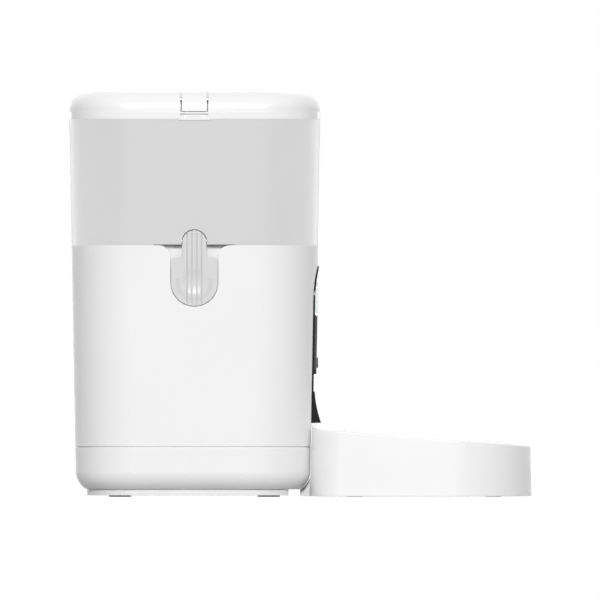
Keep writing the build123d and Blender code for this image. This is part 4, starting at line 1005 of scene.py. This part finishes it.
@dataclass
class Screws(SubAssembly):
    """Pan-head screws with a cross recess and a thread, put where the CAD screws are."""

    slots = {"board_screws": Slot.PIN}
    head_sides: int = 32
    recess_width: float = 0.55 * MM
    recess_depth: float = 0.9 * MM
    recess_reach: float = 1.25
    shank_sides: int = 20
    tip_share: float = 0.45
    thread_pitch: float = 1.1 * MM
    thread_depth: float = 0.22 * MM
    thread_share: float = 0.85
    thread_foot: float = 0.9
    turn_steps: int = 12
    ridge_sides: int = 4
    tip_layer: float = 0.1 * MM
    screw_reach: float = 6 * MM

    def head(self, tree: Tree) -> Socket:
        """Round head with a cross cut into its top.

        Args:
            tree: the screw's tree.

        Returns:
            The head's shape.
        """
        height = tree.size("Head Height")
        cap = tree.add("GeometryNodeMeshCylinder", Vertices=self.head_sides,
                       Radius=tree.size("Head Radius"), Depth=height)
        size = tree.add("ShaderNodeCombineXYZ", X=tree.size("Head Radius", self.recess_reach),
                        Y=tree.size("Recess Width"), Z=tree.size("Recess Depth", 2.0))
        bar = tree.add("GeometryNodeMeshCube", Size=size.outputs[0])
        cut = tree.add("GeometryNodeMeshBoolean", operation="DIFFERENCE", solver="EXACT")
        tree.link(tree.lift(cap.outputs["Mesh"], tree.size("Head Height", 0.5)), cut.inputs["Mesh 1"])
        for turn in (math.pi / 2, 0.0):
            tree.link(tree.lift(bar.outputs["Mesh"], height, turn), cut.inputs["Mesh 2"])
        return cut.outputs[0]

    def shank(self, tree: Tree) -> tuple[Socket, Socket]:
        """Tapered core, and the ridge that winds round it.

        Args:
            tree: the screw's tree.

        Returns:
            The core's shape and the thread's.
        """
        root = tree.math("SUBTRACT", tree.size("Shank Radius"), tree.size("Thread Depth"))
        core = tree.add("GeometryNodeMeshCone", Vertices=self.shank_sides, Depth=tree.size("Shank Length"))
        tree.link(root, core.inputs["Radius Top"])
        tree.link(tree.size("Shank Radius", self.tip_share), core.inputs["Radius Bottom"])
        run = tree.size("Shank Length", self.thread_share)
        helix = tree.add("GeometryNodeCurveSpiral", Resolution=self.turn_steps,
                         Rotations=tree.math("DIVIDE", run, tree.size("Thread Pitch")), Height=run)
        for name in ("Start Radius", "End Radius"):
            tree.link(root, helix.inputs[name])
        ridge = tree.add("GeometryNodeCurvePrimitiveCircle", Resolution=self.ridge_sides,
                         Radius=tree.size("Thread Depth"))
        thread = tree.add("GeometryNodeCurveToMesh", Curve=helix.outputs[0],
                          Profile_Curve=ridge.outputs[0], Fill_Caps=True)
        return (tree.lift(core.outputs["Mesh"], tree.size("Shank Length", -1.0)),
                tree.lift(thread.outputs[0], tree.size("Shank Length", -self.thread_foot)))

    def screw_tree(self, head: float, head_height: float, shank: float, length: float) -> Tree:
        """Tree that puts one screw, head up, on each point.

        Args:
            head: head radius.
            head_height: height of the head.
            shank: shank radius.
            length: shank length below the seat.

        Returns:
            The tree.
        """
        tree = Tree("screw", {
            "Head Radius": head, "Head Height": head_height,
            "Shank Radius": shank, "Shank Length": length,
            "Recess Width": self.recess_width, "Recess Depth": self.recess_depth,
            "Thread Pitch": self.thread_pitch, "Thread Depth": self.thread_depth,
        })
        whole = tree.add("GeometryNodeJoinGeometry")
        for shape in (self.head(tree), *self.shank(tree)):
            tree.link(shape, whole.inputs[0])
        copies = tree.add("GeometryNodeInstanceOnPoints", Points=tree.start.outputs["Geometry"],
                          Instance=whole.outputs[0])
        tree.close(copies.outputs["Instances"])
        return tree

    def replace(self, node: str, body: str, head: float = 2.8 * MM, head_height: float = 1.8 * MM,
                up: bool = False) -> None:
        """Build threaded screws where a node's screws are, and hide the node.

        Args:
            node: the CAD screws.
            body: the body that they ride on.
            head: head radius.
            head_height: head height.
            up: whether they are driven upwards, with their heads below.
        """
        boxes = islands(node)
        widest = max(high.x - low.x for low, high in boxes)
        length = max(high.z - low.z for low, high in boxes) - head_height
        shank = self.shank_radius(node, up)
        facing = -1 if up else 1
        seats = []
        for low, high in boxes:
            level = low.z + head_height if up else high.z - head_height
            seats.append(Vector(((low.x + high.x) / 2, facing * (low.y + high.y) / 2, facing * level)))
        tree = self.screw_tree(min(head, widest / 2), head_height, shank, length)
        piece = tree.run(point_base(seats, "seats"), f"{node}_threaded", self.paints.of(Slot.PIN))
        if up:
            piece.data.transform(Matrix.Rotation(math.pi, 4, "X"))
        mount(piece, body)
        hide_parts(node)

    def shank_radius(self, node: str, up: bool) -> float:
        """Radius of the shanks, read from the far end of a node's first screw.

        Args:
            node: the CAD screws.
            up: whether their tips are at the top.

        Returns:
            The radius in metres.
        """
        low, high = islands(node)[0]
        level = high.z if up else low.z
        centre = Vector(((low.x + high.x) / 2, (low.y + high.y) / 2))
        tip = [(vertex.co.xy - centre).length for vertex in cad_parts[node].data.vertices
               if abs(vertex.co.z - level) < self.tip_layer]
        return max(reach for reach in tip if reach < self.screw_reach)

    def build(self) -> None:
        """Replace the feeder's screws, group by group."""
        self.replace("base_screws", "housing", head=2.2 * MM, up=True)
        self.replace("floor_screws", "housing", head=2.9 * MM, head_height=1.0 * MM, up=True)
        self.replace("tub_screws", "housing")
        self.replace("drum_screws", "housing")
        self.replace("gear_screws", "housing", up=True)
        self.replace("motor_screws", "housing")
        self.replace("holder_screws", "bowl_stand", head=2.5 * MM, head_height=0.9 * MM, up=True)
        super().build()


@dataclass
class Column(SubAssembly):
    """Body shell, base, bottom cover, battery hatch, feet, deck, pillars and circuit boards."""

    slots = {
        "body_shell": Slot.WHITE, "base_tray": Slot.WHITE, "bottom_cover": Slot.PALE,
        "battery_door": Slot.PALE, "body_feet": Slot.RUBBER, "power_inlet": Slot.PIN,
        "battery_cells": Slot.CELL, "battery_contacts": Slot.PIN, "base_deck": Slot.INNER,
        "drum_pillars": Slot.INNER, "main_board": Slot.BOARD, "front_board": Slot.BOARD,
    }


@dataclass
class Hopper(SubAssembly):
    """Frosted bin with its white collar, pale grey plates that paint the shade of the latches' catch
    recesses, and the two release levers.
    """

    slots = {
        "hopper_bin": Slot.HOPPER, "hopper_funnel": Slot.WHITE, "hopper_collar": Slot.COLLAR,
        "lever_pins": Slot.PIN, "release_lever_left": Slot.LEVER, "release_lever_right": Slot.LEVER,
    }
    catch_half_width: float = 10.5 * MM
    catch_low: float = 294.95 * MM
    catch_high: float = 297.45 * MM
    catch_root: float = 94.0 * MM
    catch_proud: float = 0.5 * MM
    catch_buried: float = 0.3 * MM
    dimple_offset: float = 7.2 * MM
    dimple_radius: float = 1.9 * MM
    dimple_depth: float = 0.45 * MM
    step: float = 0.25 * MM
    rounded_steps: int = 2

    def catch_plate(self, side: Side) -> None:
        """Pale grey plate in the collar's catch recess, whose grey is painted shade of the recess, with two
        shallow dimples that a latch's lugs snap into.

        Args:
            side: left or right.
        """
        low, high = node_box("hopper_collar")
        middle = (low.y + high.y) / 2
        mesh = bmesh.new()
        columns = round(2 * self.catch_half_width / self.step)
        rows = round((self.catch_high - self.catch_low) / self.step)
        grid = []
        for row in range(rows + 1):
            height = self.catch_low + (self.catch_high - self.catch_low) * row / rows
            line = []
            for column in range(columns + 1):
                across = -self.catch_half_width + 2 * self.catch_half_width * column / columns
                inset = min(1.0, min(row, rows - row, column, columns - column) / self.rounded_steps)
                reach = math.hypot(abs(across) - self.dimple_offset,
                                   height - (self.catch_low + self.catch_high) / 2)
                hollow = self.dimple_depth * max(0.0, 1.0 - (reach / self.dimple_radius) ** 2)
                depth = self.catch_root + self.catch_proud * math.sqrt(inset) - hollow * inset
                line.append(mesh.verts.new((side.value * depth, middle + across, height)))
            grid.append(line)
        for lower, upper in zip(grid, grid[1:]):
            for column in range(columns):
                mesh.faces.new((lower[column], lower[column + 1], upper[column + 1], upper[column]))
        rim = [edge for edge in mesh.edges if edge.is_boundary]
        walls = bmesh.ops.extrude_edge_only(mesh, edges=rim)["geom"]
        for vertex in (item for item in walls if isinstance(item, bmesh.types.BMVert)):
            vertex.co.x = side.value * (self.catch_root - self.catch_buried)
        bmesh.ops.holes_fill(mesh, edges=[edge for edge in mesh.edges if edge.is_boundary])
        bmesh.ops.recalc_face_normals(mesh, faces=mesh.faces)
        # The plate's pale grey paints the shade of the collar's catch recess.
        piece = piece_from(mesh, f"catch_plate_{side.name.lower()}", self.paints.of(Slot.PALE))
        mount(piece, "hopper")

    def build(self) -> None:
        """Dress the hopper's pieces and add the plates of painted recess shade."""
        for side in Side:
            self.catch_plate(side)
        super().build()


@dataclass
class Lid(SubAssembly):
    """Rounded lid with its latches, seal and drying box."""

    slots = {
        "lid_cover": Slot.WHITE, "lid_liner": Slot.INNER, "lid_gasket": Slot.SEAL,
        "desiccant_box": Slot.INNER, "desiccant_cap": Slot.PALE, "latch_pins": Slot.PIN,
        "lid_latch_left": Slot.WHITE, "lid_latch_right": Slot.WHITE,
    }


@dataclass
class Front(SubAssembly):
    """Black front panel with its smoked plate, window, button and outlet.

    The chin is the outlet lip's outline, as distances along the feeder and heights in millimetres.
    """

    slots = {
        "front_panel": Slot.BLACK, "outlet_bezel": Slot.BLACK, "control_plate": Slot.SMOKED,
        "status_window": Slot.WINDOW, "feed_button": Slot.BUTTON,
    }
    ring_sides: int = 64
    ring_gap: float = 0.15 * MM
    ring_width: float = 0.4 * MM
    ring_proud: float = 0.2 * MM
    ring_crest: float = 1.5
    ring_shoulder: float = 0.6
    ring_buried: float = 0.4 * MM
    chin_half_width: float = 34.4 * MM
    chin_round: float = 0.35 * MM
    chin: tuple[tuple[float, float], ...] = (
        (-7.6, 57.2), (-11.9, 57.2), (-12.35, 56.9), (-12.4, 56.3), (-12.0, 55.5), (-11.2, 54.6),
        (-10.2, 53.9), (-9.0, 53.55), (-7.6, 53.5),
    )

    def outlet_chin(self) -> None:
        """White lip across the foot of the outlet, below its black bezel."""
        mesh = bmesh.new()
        left, right = ([mesh.verts.new((x, y * MM, z * MM)) for y, z in self.chin]
                       for x in (-self.chin_half_width, self.chin_half_width))
        close_strip(mesh, left, right)
        mesh.faces.new(left)
        mesh.faces.new(right)
        bmesh.ops.recalc_face_normals(mesh, faces=mesh.faces)
        caps = [edge for edge in mesh.edges
                if abs(edge.verts[0].co.x - edge.verts[1].co.x) < SAME_PLACE]
        bmesh.ops.bevel(mesh, geom=caps, offset=self.chin_round, segments=3, profile=0.5,
                        affect="EDGES")
        mount(piece_from(mesh, "outlet_chin", self.paints.of(Slot.WHITE)), "housing")

    def button_ring(self) -> None:
        """Thin dark ring round the button, seated on the plate."""
        low, high = node_box("feed_button")
        centre = (low + high) / 2
        face = node_box("control_plate")[0].y
        inner = (high.x - low.x) / 2 + self.ring_gap
        outer = inner + self.ring_width
        profile = [
            (inner, face + self.ring_buried), (inner, face - self.ring_proud),
            (inner + self.ring_width * 0.5, face - self.ring_proud * self.ring_crest),
            (outer, face - self.ring_proud * self.ring_shoulder), (outer, face + self.ring_buried),
        ]
        mesh = bmesh.new()
        loops = []
        for index in range(self.ring_sides):
            turn = 2 * math.pi * index / self.ring_sides
            across, up = math.cos(turn), math.sin(turn)
            loops.append([mesh.verts.new((centre.x + reach * across, depth, centre.z + reach * up))
                          for reach, depth in profile])
        for index, here in enumerate(loops):
            close_strip(mesh, here, loops[(index + 1) % self.ring_sides])
        bmesh.ops.recalc_face_normals(mesh, faces=mesh.faces)
        mount(piece_from(mesh, "button_ring", self.paints.of(Slot.BLACK)), "housing")

    def build(self) -> None:
        """Dress the front's pieces, and add the button's ring and the outlet's lip."""
        super().build()
        self.button_ring()
        self.outlet_chin()


@dataclass
class Dispenser(SubAssembly):
    """Drum, portion wheel, gear train, motor and chute inside the column."""

    slots = {
        "food_chute": Slot.INNER, "dispenser_tub": Slot.INNER, "tub_cover": Slot.INNER,
        "gear_cover": Slot.INNER, "throat_seal": Slot.SEAL, "portion_rotor": Slot.WHEEL,
        "rotor_gear": Slot.GEAR, "idler_gear": Slot.GEAR, "motor_pinion": Slot.GEAR,
        "rotor_shaft": Slot.PIN, "idler_pin": Slot.PIN, "motor_shaft": Slot.PIN,
        "shaft_bushing": Slot.BRASS, "drive_motor": Slot.MOTOR,
    }


@dataclass
class BowlStand(SubAssembly):
    """Sloping stand with its floor, pads and steel bowl."""

    slots = {
        "bowl_holder": Slot.WHITE, "holder_base": Slot.PALE, "holder_feet": Slot.RUBBER,
        "steel_bowl": Slot.BOWL,
    }


def main() -> None:
    """Build the studio and every sub-assembly."""
    logging.basicConfig(level=logging.INFO, format="%(name)s: %(message)s")
    Studio().build()
    paints = Paints()
    for kind in (Column, Hopper, Lid, Front, Dispenser, BowlStand, Screws):
        kind(paints).build()


if __name__ == "__main__":
    main()
